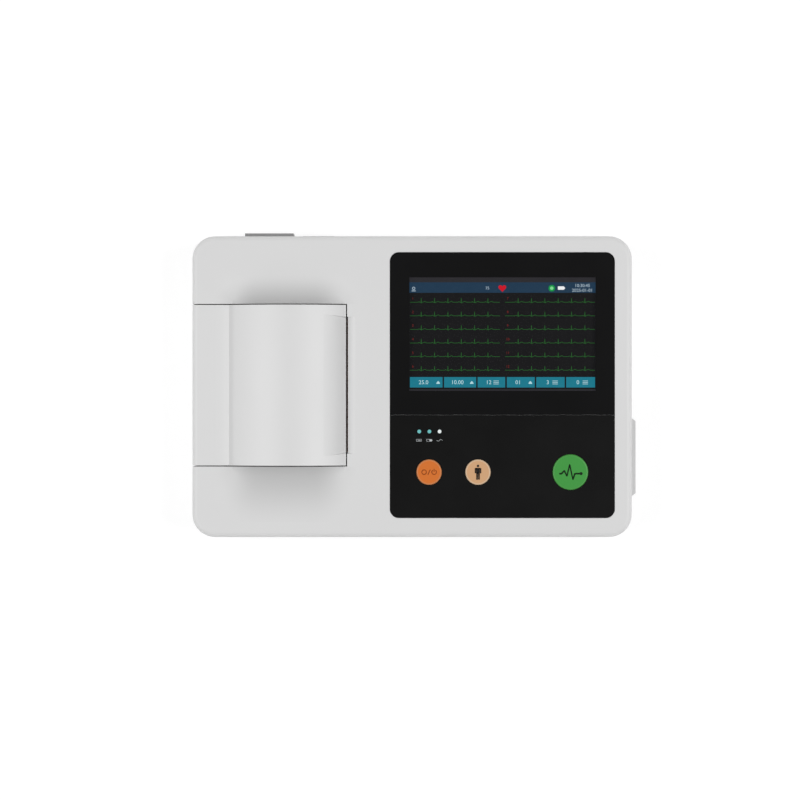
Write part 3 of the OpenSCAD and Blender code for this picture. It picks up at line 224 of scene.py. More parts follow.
def feed(node, socketName, value):
    node.id_data.links.new(value, node.inputs[socketName])


def objectPlace(tree):
    return tree.nodes.new("ShaderNodeTexCoord").outputs["Object"]


def mathNode(tree, operation, a, b=None):
    node = tree.nodes.new("ShaderNodeMath")
    node.operation = operation
    for socket, value in zip(node.inputs, (a, b)):
        if value is None:
            continue
        if isinstance(value, (int, float)):
            socket.default_value = value
        else:
            tree.links.new(value, socket)
    return node.outputs[0]


def mouldTextureGroup():  # spark-eroded mould finish: fine pits over slow waviness
    group, ins, outs = newGroup(
        "mouldTexture",
        [("Grain", "NodeSocketFloat", 5000.0), ("Wave", "NodeSocketFloat", 60.0)],
        [("Height", "NodeSocketFloat"), ("Mottle", "NodeSocketFloat")])
    place = objectPlace(group)
    fine = group.nodes.new("ShaderNodeTexNoise")
    slow = group.nodes.new("ShaderNodeTexNoise")
    fine.inputs["Detail"].default_value = 3
    slow.inputs["Detail"].default_value = 2
    feed(fine, "Vector", place)
    feed(slow, "Vector", place)
    feed(fine, "Scale", ins.outputs["Grain"])
    feed(slow, "Scale", ins.outputs["Wave"])
    height = mathNode(group, "ADD", mathNode(group, "MULTIPLY", fine.outputs[0], 0.7),
                      mathNode(group, "MULTIPLY", slow.outputs[0], 0.3))
    feed(outs, "Height", height)
    feed(outs, "Mottle", slow.outputs[0])
    return group


def handlingGroup():  # slow patches where hands and cloths pass
    group, ins, outs = newGroup(
        "handling",
        [("Scale", "NodeSocketFloat", 30.0)],
        [("Smudge", "NodeSocketFloat")])
    place = objectPlace(group)
    smear = group.nodes.new("ShaderNodeTexNoise")
    preset(smear, {"Detail": 4, "Roughness": 0.6})
    feed(smear, "Vector", place)
    feed(smear, "Scale", ins.outputs["Scale"])
    feed(outs, "Smudge", smear.outputs[0])
    return group


def brushedGroup():  # drawn or rolled lines along one axis
    group, ins, outs = newGroup(
        "brushed",
        [("Lines", "NodeSocketFloat", 900.0), ("Length", "NodeSocketVector", (1, 0.03, 1))],
        [("Height", "NodeSocketFloat"), ("Shade", "NodeSocketFloat")])
    place = objectPlace(group)
    squeeze = group.nodes.new("ShaderNodeVectorMath")
    squeeze.operation = "MULTIPLY"
    group.links.new(place, squeeze.inputs[0])
    group.links.new(ins.outputs["Length"], squeeze.inputs[1])
    lines = group.nodes.new("ShaderNodeTexNoise")
    lines.inputs["Detail"].default_value = 4
    feed(lines, "Vector", squeeze.outputs[0])
    feed(lines, "Scale", ins.outputs["Lines"])
    patches = group.nodes.new("ShaderNodeTexNoise")
    patches.inputs["Scale"].default_value = 40
    feed(patches, "Vector", place)
    feed(outs, "Height", lines.outputs[0])
    feed(outs, "Shade", patches.outputs[0])
    return group


groups = {
    "mould": mouldTextureGroup(),
    "handling": handlingGroup(),
    "brushed": brushedGroup(),
}


def useGroup(tree, name, **values):
    node = tree.nodes.new("ShaderNodeGroup")
    node.node_tree = groups[name]
    preset(node, values)
    return node


def emptyMaterial(name):
    material = bpy.data.materials.new(name)
    material.use_nodes = True
    tree = material.node_tree
    return material, tree, tree.nodes["Principled BSDF"]


def spread(tree, mask, low, high):  # a mask stretched onto a range of values
    node = tree.nodes.new("ShaderNodeMapRange")
    preset(node, {"To Min": low, "To Max": high})
    feed(node, "Value", mask)
    return node.outputs[0]


def mixColours(tree, mask, first, second):
    node = tree.nodes.new("ShaderNodeMix")
    node.data_type = "RGBA"
    feed(node, "Factor", mask)
    for socket, value in ((node.inputs[6], first), (node.inputs[7], second)):
        if isinstance(value, tuple):
            socket.default_value = (*value, 1)
        else:
            tree.links.new(value, socket)
    return node.outputs[2]


def bumped(tree, shader, height, strength, distance):
    bump = tree.nodes.new("ShaderNodeBump")
    preset(bump, {"Strength": strength, "Distance": distance})
    feed(bump, "Height", height)
    feed(shader, "Normal", bump.outputs[0])


def mouldedPlastic(name, colour, roughness=0.45, vary=0.02, grain=5200.0, depth=0.00003,
                   strength=0.35, specular=0.5):
    material, tree, shader = emptyMaterial(name)
    shader.inputs["Specular IOR Level"].default_value = specular
    mould = useGroup(tree, "mould", Grain=grain, Wave=45.0)
    handled = useGroup(tree, "handling", Scale=22.0)
    darker = tuple(max(c - vary, 0) for c in colour)
    feed(shader, "Base Color", mixColours(tree, mould.outputs["Mottle"], darker, colour))
    feed(shader, "Roughness",
         spread(tree, handled.outputs["Smudge"], roughness - 0.07, roughness + 0.07))
    bumped(tree, shader, mould.outputs["Height"], strength, depth)
    return material


def paintedShadePlastic(name, colour, along):
    # housing plastic with painted shade: greyed where the hump runs out beside the door, most at
    # the door's seam
    material = mouldedPlastic(name, colour, 0.5, 0.012)
    tree = material.node_tree
    shader = next(node for node in tree.nodes if node.type == "BSDF_PRINCIPLED")
    clean = shader.inputs["Base Color"].links[0].from_socket
    place = objectPlace(tree)
    parted = tree.nodes.new("ShaderNodeSeparateXYZ")
    tree.links.new(place, parted.inputs[0])
    far = []
    for axis, middle, start, reach in (paintedShade["across"], paintedShade[along]):
        off = mathNode(tree, "ABSOLUTE", mathNode(tree, "SUBTRACT", parted.outputs[axis], middle))
        off = mathNode(tree, "MAXIMUM", mathNode(tree, "SUBTRACT", off, start), 0.0)
        off = mathNode(tree, "DIVIDE", off, reach)
        far.append(mathNode(tree, "MULTIPLY", off, off))
    away = mathNode(tree, "SQRT", mathNode(tree, "ADD", far[0], far[1]))
    shadeFade = tree.nodes.new("ShaderNodeMapRange")
    shadeFade.interpolation_type = "SMOOTHSTEP"
    preset(shadeFade, {"To Min": 1, "To Max": 0})
    feed(shadeFade, "Value", away)
    paintedShadeTint = mixColours(tree, shadeFade.outputs[0], (1, 1, 1), (paintedShade["grey"],) * 3)
    both = tree.nodes.new("ShaderNodeMix")
    both.data_type = "RGBA"
    both.blend_type = "MULTIPLY"
    both.inputs["Factor"].default_value = 1
    tree.links.new(clean, both.inputs[6])
    tree.links.new(paintedShadeTint, both.inputs[7])
    feed(shader, "Base Color", both.outputs[2])
    return material


def keyCap(name, node, colour, rimHighlight, specular=0.5):
    # silicone key, with a painted highlight: its rounded rim is given a paler colour
    material, tree, shader = emptyMaterial(name)
    shader.inputs["Specular IOR Level"].default_value = specular
    low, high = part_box(node)
    radius = keyRadius[node]
    place = objectPlace(tree)
    centre = tree.nodes.new("ShaderNodeMapping")
    middle = (low + high) / 2
    preset(centre, {"Location": (-middle.x, -middle.y, 0), "Scale": (1, 1, 0)})
    feed(centre, "Vector", place)
    far = tree.nodes.new("ShaderNodeVectorMath")
    far.operation = "LENGTH"
    tree.links.new(centre.outputs[0], far.inputs[0])
    # the paler colour near the rim is a painted highlight
    edge = tree.nodes.new("ShaderNodeMapRange")
    preset(edge, {"From Min": radius - 1.1 * mm, "From Max": radius - 0.5 * mm})
    feed(edge, "Value", far.outputs["Value"])
    mould = useGroup(tree, "mould", Grain=6000.0, Wave=90.0)
    worn = mixColours(tree, mould.outputs["Mottle"], tuple(c * 0.93 for c in colour), colour)
    feed(shader, "Base Color", mixColours(tree, edge.outputs[0], worn, rimHighlight))
    handled = useGroup(tree, "handling", Scale=60.0)
    feed(shader, "Roughness", spread(tree, handled.outputs["Smudge"], 0.36, 0.5))
    bumped(tree, shader, mould.outputs["Height"], 0.25, 0.00001)
    return material


def gloss(name, colour, roughness=0.12, coat=0.6):
    material, tree, shader = emptyMaterial(name)
    handled = useGroup(tree, "handling", Scale=35.0)
    paler = tuple(min(c + 0.01, 1) for c in colour)
    feed(shader, "Base Color", mixColours(tree, handled.outputs["Smudge"], colour, paler))
    feed(shader, "Roughness",
         spread(tree, handled.outputs["Smudge"], roughness - 0.05, roughness + 0.1))
    preset(shader, {"Coat Weight": coat, "Coat Roughness": 0.06})
    return material


def metal(name, colour, roughness=0.3, lines=900.0, along=(1, 0.03, 1)):
    material, tree, shader = emptyMaterial(name)
    brushed = useGroup(tree, "brushed", Lines=lines, Length=along)
    handled = useGroup(tree, "handling", Scale=40.0)
    darker = tuple(c * 0.82 for c in colour)
    feed(shader, "Base Color", mixColours(tree, brushed.outputs["Shade"], darker, colour))
    feed(shader, "Roughness",
         spread(tree, handled.outputs["Smudge"], roughness - 0.08, roughness + 0.12))
    shader.inputs["Metallic"].default_value = 1
    bumped(tree, shader, brushed.outputs["Height"], 0.15, 0.00002)
    return material


def rubber(name, colour):
    material, tree, shader = emptyMaterial(name)
    mould = useGroup(tree, "mould", Grain=7000.0, Wave=120.0)
    darker = tuple(c * 0.7 for c in colour)
    feed(shader, "Base Color", mixColours(tree, mould.outputs["Mottle"], darker, colour))
    preset(shader, {"Roughness": 0.75, "Sheen Weight": 0.15})
    bumped(tree, shader, mould.outputs["Height"], 0.5, 0.00004)
    return material


def circuitBoard(name):  # green lacquer over copper tracks, with tinned pads
    material, tree, shader = emptyMaterial(name)
    place = objectPlace(tree)
    tracks = tree.nodes.new("ShaderNodeTexBrick")
    preset(tracks, {"Scale": 160, "Mortar Size": 0.06, "Mortar Smooth": 0.1,
                    "Color1": (0.02, 0.13, 0.05, 1), "Color2": (0.025, 0.16, 0.06, 1),
                    "Mortar": (0.05, 0.27, 0.1, 1)})
    feed(tracks, "Vector", place)
    dots = tree.nodes.new("ShaderNodeTexVoronoi")
    preset(dots, {"Scale": 260, "Randomness": 0.35})
    feed(dots, "Vector", place)
    pads = mathNode(tree, "LESS_THAN", dots.outputs["Distance"], 0.16)
    feed(shader, "Base Color", mixColours(tree, pads, tracks.outputs["Color"], (0.72, 0.7, 0.62)))
    feed(shader, "Metallic", pads)
    feed(shader, "Roughness", spread(tree, pads, 0.3, 0.42))
    bumped(tree, shader, tracks.outputs["Fac"], 0.3, 0.00003)
    return material


def chartPaper(name):  # thermal paper: faint fibres and a pale 1 mm and 5 mm grid
    material, tree, shader = emptyMaterial(name)
    place = objectPlace(tree)
    grid = tree.nodes.new("ShaderNodeTexBrick")
    grid.offset = 0
    preset(grid, {"Scale": 200, "Brick Width": 1, "Row Height": 1, "Mortar Size": 0.035,
                  "Color1": (0.9, 0.88, 0.86, 1), "Color2": (0.9, 0.88, 0.86, 1),
                  "Mortar": (0.88, 0.62, 0.58, 1)})
    feed(grid, "Vector", place)
    layers = tree.nodes.new("ShaderNodeTexWave")
    layers.wave_type = "RINGS"
    layers.rings_direction = "Y"
    preset(layers, {"Scale": 900, "Distortion": 0.4})
    centre = tree.nodes.new("ShaderNodeMapping")
    low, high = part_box("paper_roll")
    centre.inputs["Location"].default_value = tuple(-(low + high) / 2)
    feed(centre, "Vector", place)
    feed(layers, "Vector", centre.outputs[0])
    wound = spread(tree, layers.outputs["Fac"], 0, 0.12)
    feed(shader, "Base Color", mixColours(tree, wound, grid.outputs["Color"], (0.7, 0.67, 0.64)))
    shader.inputs["Roughness"].default_value = 0.7
    bumped(tree, shader, layers.outputs["Fac"], 0.1, 0.00003)
    return material


def displayGlass(name, window):  # black printed border, clear over the screen
    material, tree, shader = emptyMaterial(name)
    place = objectPlace(tree)
    axes = tree.nodes.new("ShaderNodeSeparateXYZ")
    tree.links.new(place, axes.inputs[0])
    between = []
    for axis, (low, high) in window.items():
        above = mathNode(tree, "GREATER_THAN", axes.outputs[axis], low)
        below = mathNode(tree, "LESS_THAN", axes.outputs[axis], high)
        between.append(mathNode(tree, "MULTIPLY", above, below))
    inside = mathNode(tree, "MULTIPLY", *between)
    handled = useGroup(tree, "handling", Scale=28.0).outputs["Smudge"]
    feed(shader, "Base Color", mixColours(tree, handled, *lensGlass["border"]))
    feed(shader, "Roughness", spread(tree, handled, *lensGlass["roughness"]))
    shader.inputs["Specular IOR Level"].default_value = lensGlass["specular"]
    feed(shader, "Alpha", spread(tree, inside, 1.0, lensGlass["clear"]))
    return material


def lit(name, colour, strength=1.0):
    material, tree, shader = emptyMaterial(name)
    mould = useGroup(tree, "mould", Grain=9000.0, Wave=300.0)  # the screen's pixels vary a little
    paler = tuple(min(c * 1.12 + 0.002, 1) for c in colour)
    feed(shader, "Emission Color", mixColours(tree, mould.outputs["Mottle"], colour, paler))
    preset(shader, {"Base Color": (0.002, 0.002, 0.002, 1), "Specular IOR Level": 0.04,
                    "Emission Strength": strength, "Roughness": 0.4})
    return material


def linear(red, green, blue):  # from 0-255 display values
    def one(c):
        c /= 255
        return c / 12.92 if c <= 0.04045 else ((c + 0.055) / 1.055) ** 2.4
    return tuple(round(one(c), 4) for c in (red, green, blue))


keyRadius = {"power_key": 7.5 * mm, "patient_key": 7.5 * mm, "print_key": 10.5 * mm}
lensGlass = {
    "border": ((0.0058, 0.0058, 0.0058), (0.0073, 0.0073, 0.0078)),  # clean and smudged
    "roughness": (0.14, 0.22),
    "specular": 0.1,
    "clear": 0.06,  # how much the glass over the screen dims it
}
screenWindow = {"left": 11.5 * mm, "back": 14.6 * mm, "width": 110.2 * mm, "depth": 67.4 * mm}
windowLeft = lensLow.x + screenWindow["left"]
windowBack = lensHigh.y - screenWindow["back"]

# painted shade on the hump's run-outs beside the door; on the front it reaches further, as a
# painted soft shadow
paintedShade = {
    "grey": 0.67,
    # axis, the middle, where the greying starts from there, how far it reaches
    "across": ("X", -76.7 * mm, 16.0 * mm, 28.0 * mm),
    "front": ("Y", -0.45 * mm, 40.0 * mm, 46.0 * mm),
    "back": ("Y", -0.45 * mm, 47.0 * mm, 19.0 * mm),
}

finishes = {
    "paintedShadeFront": paintedShadePlastic("paintedShadeFront", linear(216, 216, 216), "front"),
    "paintedShadeBack": paintedShadePlastic("paintedShadeBack", linear(216, 216, 216), "back"),
    "housing": mouldedPlastic("housingPlastic", linear(216, 216, 216), 0.5, 0.012),
    "door": mouldedPlastic("doorPlastic", linear(217, 217, 217), 0.48, 0.012),
    "lens": displayGlass("displayLens", {
        "X": (windowLeft, windowLeft + screenWindow["width"]),
        "Y": (windowBack - screenWindow["depth"], windowBack)}),
    "keypad": mouldedPlastic("keypadFilm", (0.0058, 0.0058, 0.0058), 0.28, 0.001, 9000.0, 0.00001,
                             0.2, 0.1),
    "darkPlastic": mouldedPlastic("darkPlastic", (0.02, 0.02, 0.02), 0.45, 0.005),
    "inlet": mouldedPlastic("inletPlastic", (0.3, 0.3, 0.3), 0.45, 0.01),
    "innerPlastic": mouldedPlastic("innerPlastic", (0.45, 0.45, 0.46), 0.5, 0.03),
    "gearPlastic": mouldedPlastic("gearPlastic", (0.72, 0.7, 0.62), 0.35, 0.03),
    # each key's second colour is a painted highlight along its rounded rim
    "orangeKey": keyCap("orangeKey", "power_key", linear(213, 110, 23), linear(203, 130, 80), 0.3),
    "peachKey": keyCap("peachKey", "patient_key", linear(208, 160, 114), linear(214, 184, 152)),
    "greenKey": keyCap("greenKey", "print_key", linear(30, 145, 32), linear(66, 148, 62)),
    "rubber": rubber("blackRubber", (0.035, 0.035, 0.035)),
    "steel": metal("platedSteel", (0.6, 0.6, 0.61)),
    "spring": metal("springWire", (0.5, 0.5, 0.52), 0.22, 1500.0),
    "blackSteel": metal("blackenedSteel", (0.03, 0.03, 0.032), 0.5, 1200.0),
    "aluminium": metal("extrudedAluminium", (0.75, 0.76, 0.78), 0.35, 1200.0),
    "brass": metal("brass", (0.78, 0.57, 0.25), 0.25),
    "bronze": metal("tearBlade", (0.09, 0.035, 0.02), 0.35, 1500.0),
    "board": circuitBoard("circuitBoard"),
    "lampLens": mouldedPlastic("lampLens", linear(150, 200, 200), 0.3, 0.02, 8000.0, 0.000005),
    "screen": gloss("screenGlass", (0.004, 0.005, 0.006), 0.15, 0.3),
    "ceramic": gloss("glazedCeramic", (0.75, 0.72, 0.64), 0.2, 0.8),
    "battery": gloss("shrinkSleeve", (0.015, 0.06, 0.25), 0.3, 0.4),
    "paper": chartPaper("chartPaper"),
    "card": mouldedPlastic("woundCard", (0.35, 0.24, 0.14), 0.8, 0.06, 900.0),
}

nodeFinish = {
    "housing": ["bottom_housing", "top_housing", "battery_cover", "socket_surround"],
    "door": ["printer_door"],
    "lens": ["display_lens"],
    "keypad": ["keypad_panel"],
    "inlet": ["mains_inlet"],
    "darkPlastic": ["key_switches", "board_chips", "power_parts", "paper_sensor", "speaker",
                    "power_plunger", "patient_plunger", "print_plunger"],
    "innerPlastic": ["paper_tray", "platen_carrier", "paper_spindle"],
    "gearPlastic": ["platen_gear", "idler_gear", "compound_gear", "platen_bushes"],
    "orangeKey": ["power_key"],
    "peachKey": ["patient_key"],
    "greenKey": ["print_key"],
    "rubber": ["rubber_feet", "platen_rubber"],
    "blackSteel": ["lcd_frame"],
    "steel": ["housing_screws", "network_socket", "usb_sockets", "patient_socket",
              "jack_screws", "printer_frame", "motor_plate", "frame_spacers", "head_pin",
              "feed_motor", "gear_studs", "hinge_pin", "board_screws", "carrier_screws",
              "platen_shaft"],
    "spring": ["head_springs"],
    "aluminium": ["head_sink"],
    "brass": ["inlet_pins", "motor_pinion"],
    "bronze": ["tear_bar"],
    "board": ["keypad_board", "main_board", "power_board", "interface_boards"],
    "lampLens": ["status_leds"],
    "screen": ["lcd_glass"],
    "ceramic": ["head_ceramic"],
    "battery": ["battery_pack"],
    "paper": ["paper_roll"],
    "card": ["paper_core"],
}
for finish, names in nodeFinish.items():
    for name in names:
        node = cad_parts[name]
        node.data.materials.clear()
        node.data.materials.append(finishes[finish])
dressed = {name for names in nodeFinish.values() for name in names}
print("finishes set; left over:", sorted(set(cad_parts) - dressed))


# soft run-out of the hump into the deck, over both ends of the door
flare = {
    "deck": 52.0 * mm,
    "middle": -74.85 * mm,  # the hump's middle, from the left of the machine
    "radius": 66.476 * mm,
    "sides": 720,  # of a whole turn of the hump's arc
    "height": 9.0 * mm,
    "steep": (10.0 * mm, 58.0, 20.0),  # radius and the slopes at its two ends, degrees
    "rows": (10, 14),  # of the steep part and of the tail
    "lift": 0.03 * mm,
    "stand": 1.012,  # so that it stands clear of the solid under it
    "skin": 0.7 * mm,
    "foot": (1.8 * mm, 5.0 * mm),  # how softly its foot meets the deck, and from where on
    "door": (-0.45 * mm, 48.05 * mm),  # the door's middle and half its opening
    "clear": 0.03 * mm,  # of the opening's edge
}


def flareProfile():
    # height over the deck at each distance from the seam: steep arc, then gentle tail
    radius, steep, gentle = flare["steep"]
    steep, gentle = math.radians(steep), math.radians(gentle)
    rest = flare["height"] - radius * (math.cos(gentle) - math.cos(steep))
    tail = rest / (1 - math.cos(gentle))
    steepRows, tailRows = flare["rows"]
    rows = []
    for i in range(steepRows + 1):
        slope = steep + (gentle - steep) * i / steepRows
        rows.append((radius * (math.sin(steep) - math.sin(slope)),
                     flare["height"] - radius * (math.cos(slope) - math.cos(steep))))
    tailStart = rows[-1][0]
    for i in range(1, tailRows + 1):
        slope = gentle * (1 - i / tailRows)
        rows.append((tailStart + tail * (math.sin(gentle) - math.sin(slope)),
                     tail * (1 - math.cos(slope))))
    return rows


def softFoot(mesh, seam, rows):
    # the arc runs on under the deck; its foot is eased onto the deck instead
    depth, start = flare["foot"]
    for vert in mesh.verts:
        out = abs(vert.co.y - seam)
        middleHigh = min(rows, key=lambda row: abs(row[0] - out))[1]
        high = vert.co.z - flare["deck"]
        soft = min(depth * min(out / start, 1), middleHigh)
        rise = max(high, 0)
        if soft > 0:
            rise += soft * max(0, 1 - abs(high) / soft) ** 2 / 4
        vert.co.z = flare["deck"] + rise * flare["stand"]


def makeFlare(side, name):
    # the hump's arc, pulled out row by row and flattened onto the deck
    deselectAll()
    centre = (flare["middle"], 0, flare["deck"] + flare["height"] - flare["radius"])
    bpy.ops.mesh.primitive_circle_add(vertices=flare["sides"], radius=flare["radius"],
                                      location=centre, rotation=(math.radians(90), 0, 0))
    sheet = freeze(bpy.context.object)
    editMesh(sheet)
    bpy.ops.mesh.select_all(action="SELECT")
    bpy.ops.mesh.bisect(plane_co=(0, 0, flare["deck"] - flare["height"]), plane_no=(0, 0, 1),
                        clear_inner=True)
    middle, half = flare["door"]
    seam = middle + side * (half + flare["clear"])
    bpy.ops.mesh.select_all(action="SELECT")
    bpy.ops.transform.translate(value=(0, seam, 0))
    rows = flareProfile()
    for (outBefore, highBefore), (out, high) in zip(rows, rows[1:]):
        bpy.ops.mesh.extrude_region_move(
            TRANSFORM_OT_translate={"value": (0, side * (out - outBefore), 0)})
        bpy.ops.transform.resize(value=(1, 1, max(high, 0) / highBefore),
                                 center_override=(0, 0, flare["deck"]))
    mesh = bmesh.from_edit_mesh(sheet.data)
    softFoot(mesh, seam, [(0, flare["height"])] + rows)
    bmesh.update_edit_mesh(sheet.data)
    bpy.ops.mesh.select_all(action="SELECT")
    bpy.ops.transform.translate(value=(0, 0, flare["lift"]))
    bpy.ops.mesh.normals_make_consistent(inside=False)
    mesh = bmesh.from_edit_mesh(sheet.data)
    if sum(face.normal.z for face in mesh.faces) < 0:
        bpy.ops.mesh.flip_normals()
    addWall(sheet, flare["skin"])
    editMesh(sheet)
    bpy.ops.mesh.select_all(action="SELECT")  # the wall leans over the door's gap: trimmed
    bpy.ops.mesh.bisect(plane_co=(0, seam, 0), plane_no=(0, side, 0), clear_inner=True,
                        use_fill=True)
    smoothed(sheet)
    rename(sheet, name)
    # the run-out skins take the housing plastic with painted shade
    sheet.data.materials.append(finishes["paintedShadeBack" if side > 0 else "paintedShadeFront"])
    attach(sheet, "chassis")


makeFlare(1, "hump_flare_back")
makeFlare(-1, "hump_flare_front")
print("hump flares made")


# raised mouths of the sockets on the right side and at the back
socketMouths = {
    "stands": 1.2 * mm,  # out of the housing's wall
    "wall": 0.5 * mm,
    "corner": 0.7 * mm,
    "wider": 0.15 * mm,  # than the socket's own collar
    "usb": (7.7 * mm, 15.7 * mm, 17.25 * mm),  # width, height, height of the middle
    "usbPlaces": (-14.8 * mm, 13.0 * mm),
}


def makeMouth(low, high, along, name):
    # a short tube: a block with rounded edges, open at both ends, given a wall
    deselectAll()
    centre = [(a + b) / 2 for a, b in zip(low, high)]
    bpy.ops.mesh.primitive_cube_add(size=1, location=centre)
    mouth = bpy.context.object
    mouth.scale = [b - a for a, b in zip(low, high)]
    freeze(mouth)
    mesh = editMesh(mouth)
    pickEdges(mesh, lambda e: abs(e.verts[0].co[along] - e.verts[1].co[along]) > 0.5 * mm)
    bpy.ops.mesh.bevel(offset=socketMouths["corner"], segments=4, affect="EDGES")
    mesh = bmesh.from_edit_mesh(mouth.data)
    for face in mesh.faces:
        face.select_set(abs(face.normal[along]) > 0.9)
    bmesh.update_edit_mesh(mouth.data)
    bpy.ops.mesh.delete(type="FACE")
    addWall(mouth, socketMouths["wall"])
    smoothed(mouth)
    rename(mouth, name)
    mouth.data.materials.append(finishes["steel"])
    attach(mouth, "chassis")


def makeMouths():
    out, spare = socketMouths["stands"], socketMouths["wider"]
    wide, tall, middle = socketMouths["usb"]
    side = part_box("bottom_housing")[1]
    for index, y in enumerate(socketMouths["usbPlaces"]):
        makeMouth((side.x, y - wide / 2 - spare, middle - tall / 2 - spare),
                  (side.x + out, y + wide / 2 + spare, middle + tall / 2 + spare), 0,
                  "usb_mouth_%d" % (index + 1))
    low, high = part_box("network_socket")
    makeMouth((low.x - spare, side.y, low.z - spare),
              (high.x + spare, side.y + out, high.z + spare), 1, "network_mouth")


makeMouths()
print("socket mouths made")


# the two springs behind the print head, which shorten as the head swings back; here they are wound
# at one fixed length
headSprings = {
    "coils": 6,
    "wire": 0.4 * mm,  # its radius
    "wireSides": 10,
    "stepsPerCoil": 20,
    "places": (-20.45 * mm, 19.55 * mm),
    "arm": 17.0 * mm,  # height over the head's pivot
    "swing": 2.5,  # degrees
    "spare": 0.12 * mm,
}


def makeSprings():
    low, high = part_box("head_springs")
    wire = headSprings["wire"]
    radius = (high.z - low.z) / 2 - wire
    length = high.x - low.x - 2 * wire
    coils = []
    for y in headSprings["places"]:
        deselectAll()
        bpy.ops.mesh.primitive_circle_add(
            vertices=headSprings["wireSides"], radius=wire, location=(radius, 0, 0),
            rotation=(math.radians(90), 0, 0))
        coil = freeze(bpy.context.object)
        wind = coil.modifiers.new("wind", "SCREW")
        wind.angle = math.radians(360 * headSprings["coils"])
        wind.screw_offset = length
        wind.steps = wind.render_steps = headSprings["stepsPerCoil"] * headSprings["coils"]
        bpy.ops.object.modifier_apply(modifier="wind")
        coil.rotation_euler = (0, math.radians(90), 0)
        coil.location = (low.x + wire, y, (low.z + high.z) / 2)
        freeze(coil)
        editMesh(coil)
        bpy.ops.mesh.select_all(action="SELECT")
        bpy.ops.mesh.fill_holes(sides=0)
        bpy.ops.mesh.select_all(action="SELECT")
        bpy.ops.mesh.normals_make_consistent(inside=False)
        smoothed(coil, 50)
        coils.append(coil)
    springs = joined(coils, "head_spring_coils")
    springs.data.materials.append(finishes["spring"])
    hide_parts("head_springs")
    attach(springs, "chassis")
    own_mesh(springs)


makeSprings()
print("head springs made")


# the picture on the screen
screen = {
    "lift": 0.03 * mm,  # each layer of the picture over the one under it
    "thick": 0.02 * mm,
    "width": 110.2,  # mm, as are the other places on the picture
    # name, back and front edges, layer and colour of each full-width strip
    "strips": (("screen_background", 0, 67.4, 0, linear(20, 20, 22)),
               ("screen_top_strip", 0.1, 3.0, 1, linear(44, 43, 47)),
               ("screen_status_bar", 3.0, 9.2, 1, linear(31, 57, 80)),
               ("screen_foot_line", 66.3, 67.2, 1, linear(44, 43, 47))),
    # what is written in the status bar, its middle and its height
    "status": (("75", (46.2, 6.5), 1.7), ("10:30:45", (102.4, 5.0), 1.9),
               ("2025-01-01", (102.4, 7.8), 1.9)),
    "statusColour": linear(176, 196, 210),
    "battery": linear(240, 244, 250),
    "heart": ((55.0, 6.4), 4.6, linear(206, 18, 38)),  # middle, size and colour
    "ready": ((84.3, 6.5), 1.95, linear(16, 150, 70)),  # middle, radius and colour of the lamp
    "readyCore": (1.0, linear(130, 220, 150)),
    "rows": 6,
    "firstRow": 14.8 * mm,
    "rowPitch": 8.05 * mm,
    "beatPitch": 7.9 * mm,
    "beatHeight": 2.5 * mm,
    # P wave, QRS spike and T wave: mm from the spike, and height as a share of the spike's
    "beat": ((-1.9, 0), (-1.5, 0.13), (-1.2, 0.16), (-0.9, 0), (-0.42, 0), (-0.24, -0.12), (0, 1),
             (0.2, -0.22), (0.4, 0), (1.2, 0.03), (1.8, 0.2), (2.3, 0.24), (2.8, 0.03), (3.3, 0)),
    "lineWidth": 0.24 * mm,
    "traceColour": linear(40, 104, 44),
    "leadColour": linear(120, 34, 30),
    "columns": ((0.4, 53.6, 7.0), (56.6, 109.8, 64.4)),  # start, end and first beat, mm
    # left and right edge, number and sign of each button, and the row's back and front edges
    "buttons": ((0.3, 19.6, "25.0", "arrow"), (20.5, 39.5, "10.00", "arrow"),
                (40.4, 56.7, "12", "lines"), (57.7, 74.2, "01", "arrow"),
                (75.1, 91.9, "3", "lines"), (92.8, 109.9, "0", "lines")),
    "buttonRow": (59.1, 65.3),
    "buttonColour": linear(27, 122, 142),
    "buttonWords": linear(190, 226, 232),
}


def onScreen(across, down):  # mm from the picture's left and back edges
    return windowLeft + across * mm, windowBack - down * mm


def layer(level):
    return screenBase + screen["lift"] * level


def rideScreen(piece, colour, strength=1.0):
    piece.data.materials.clear()
    piece.data.materials.append(lit(piece.name + "Light", colour, strength))
    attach(piece, "chassis")


def makeStrips():
    for name, back, front, level, colour in screen["strips"]:
        low, high = onScreen(0, front), onScreen(screen["width"], back)
        strip = roundedSlab(low, high, layer(level), screen["thick"], 0.05 * mm)
        rename(strip, name)
        rideScreen(strip, colour)


def beats(start, end, firstBeat, baseline):  # the points of one trace
    points = [(start, 0)]
    where = firstBeat
    while where < end:
        points += [(where + dx, height) for dx, height in screen["beat"]
                   if start < where + dx < end]
        where += screen["beatPitch"] / mm
    points.append((end, 0))
    lift = screen["beatHeight"] / mm
    return [onScreen(across, baseline - height * lift) for across, height in points]


def makeTraces():
    lines, labels = [], []
    for column, (start, end, firstBeat) in enumerate(screen["columns"]):
        for row in range(screen["rows"]):
            baseline = (screen["firstRow"] + row * screen["rowPitch"]) / mm
            lines.append(stroke(beats(start, end, firstBeat, baseline), layer(2),
                                screen["lineWidth"], flat=0.1))
            number = str(column * screen["rows"] + row + 1)
            labels.append(digits(number, onScreen(start + 1.6, baseline - 2.2), layer(2), 1.5 * mm))
    traces = joined(lines, "screen_traces")
    rideScreen(traces, screen["traceColour"])
    marks = joined(labels, "screen_lead_numbers")
    rideScreen(marks, screen["leadColour"])


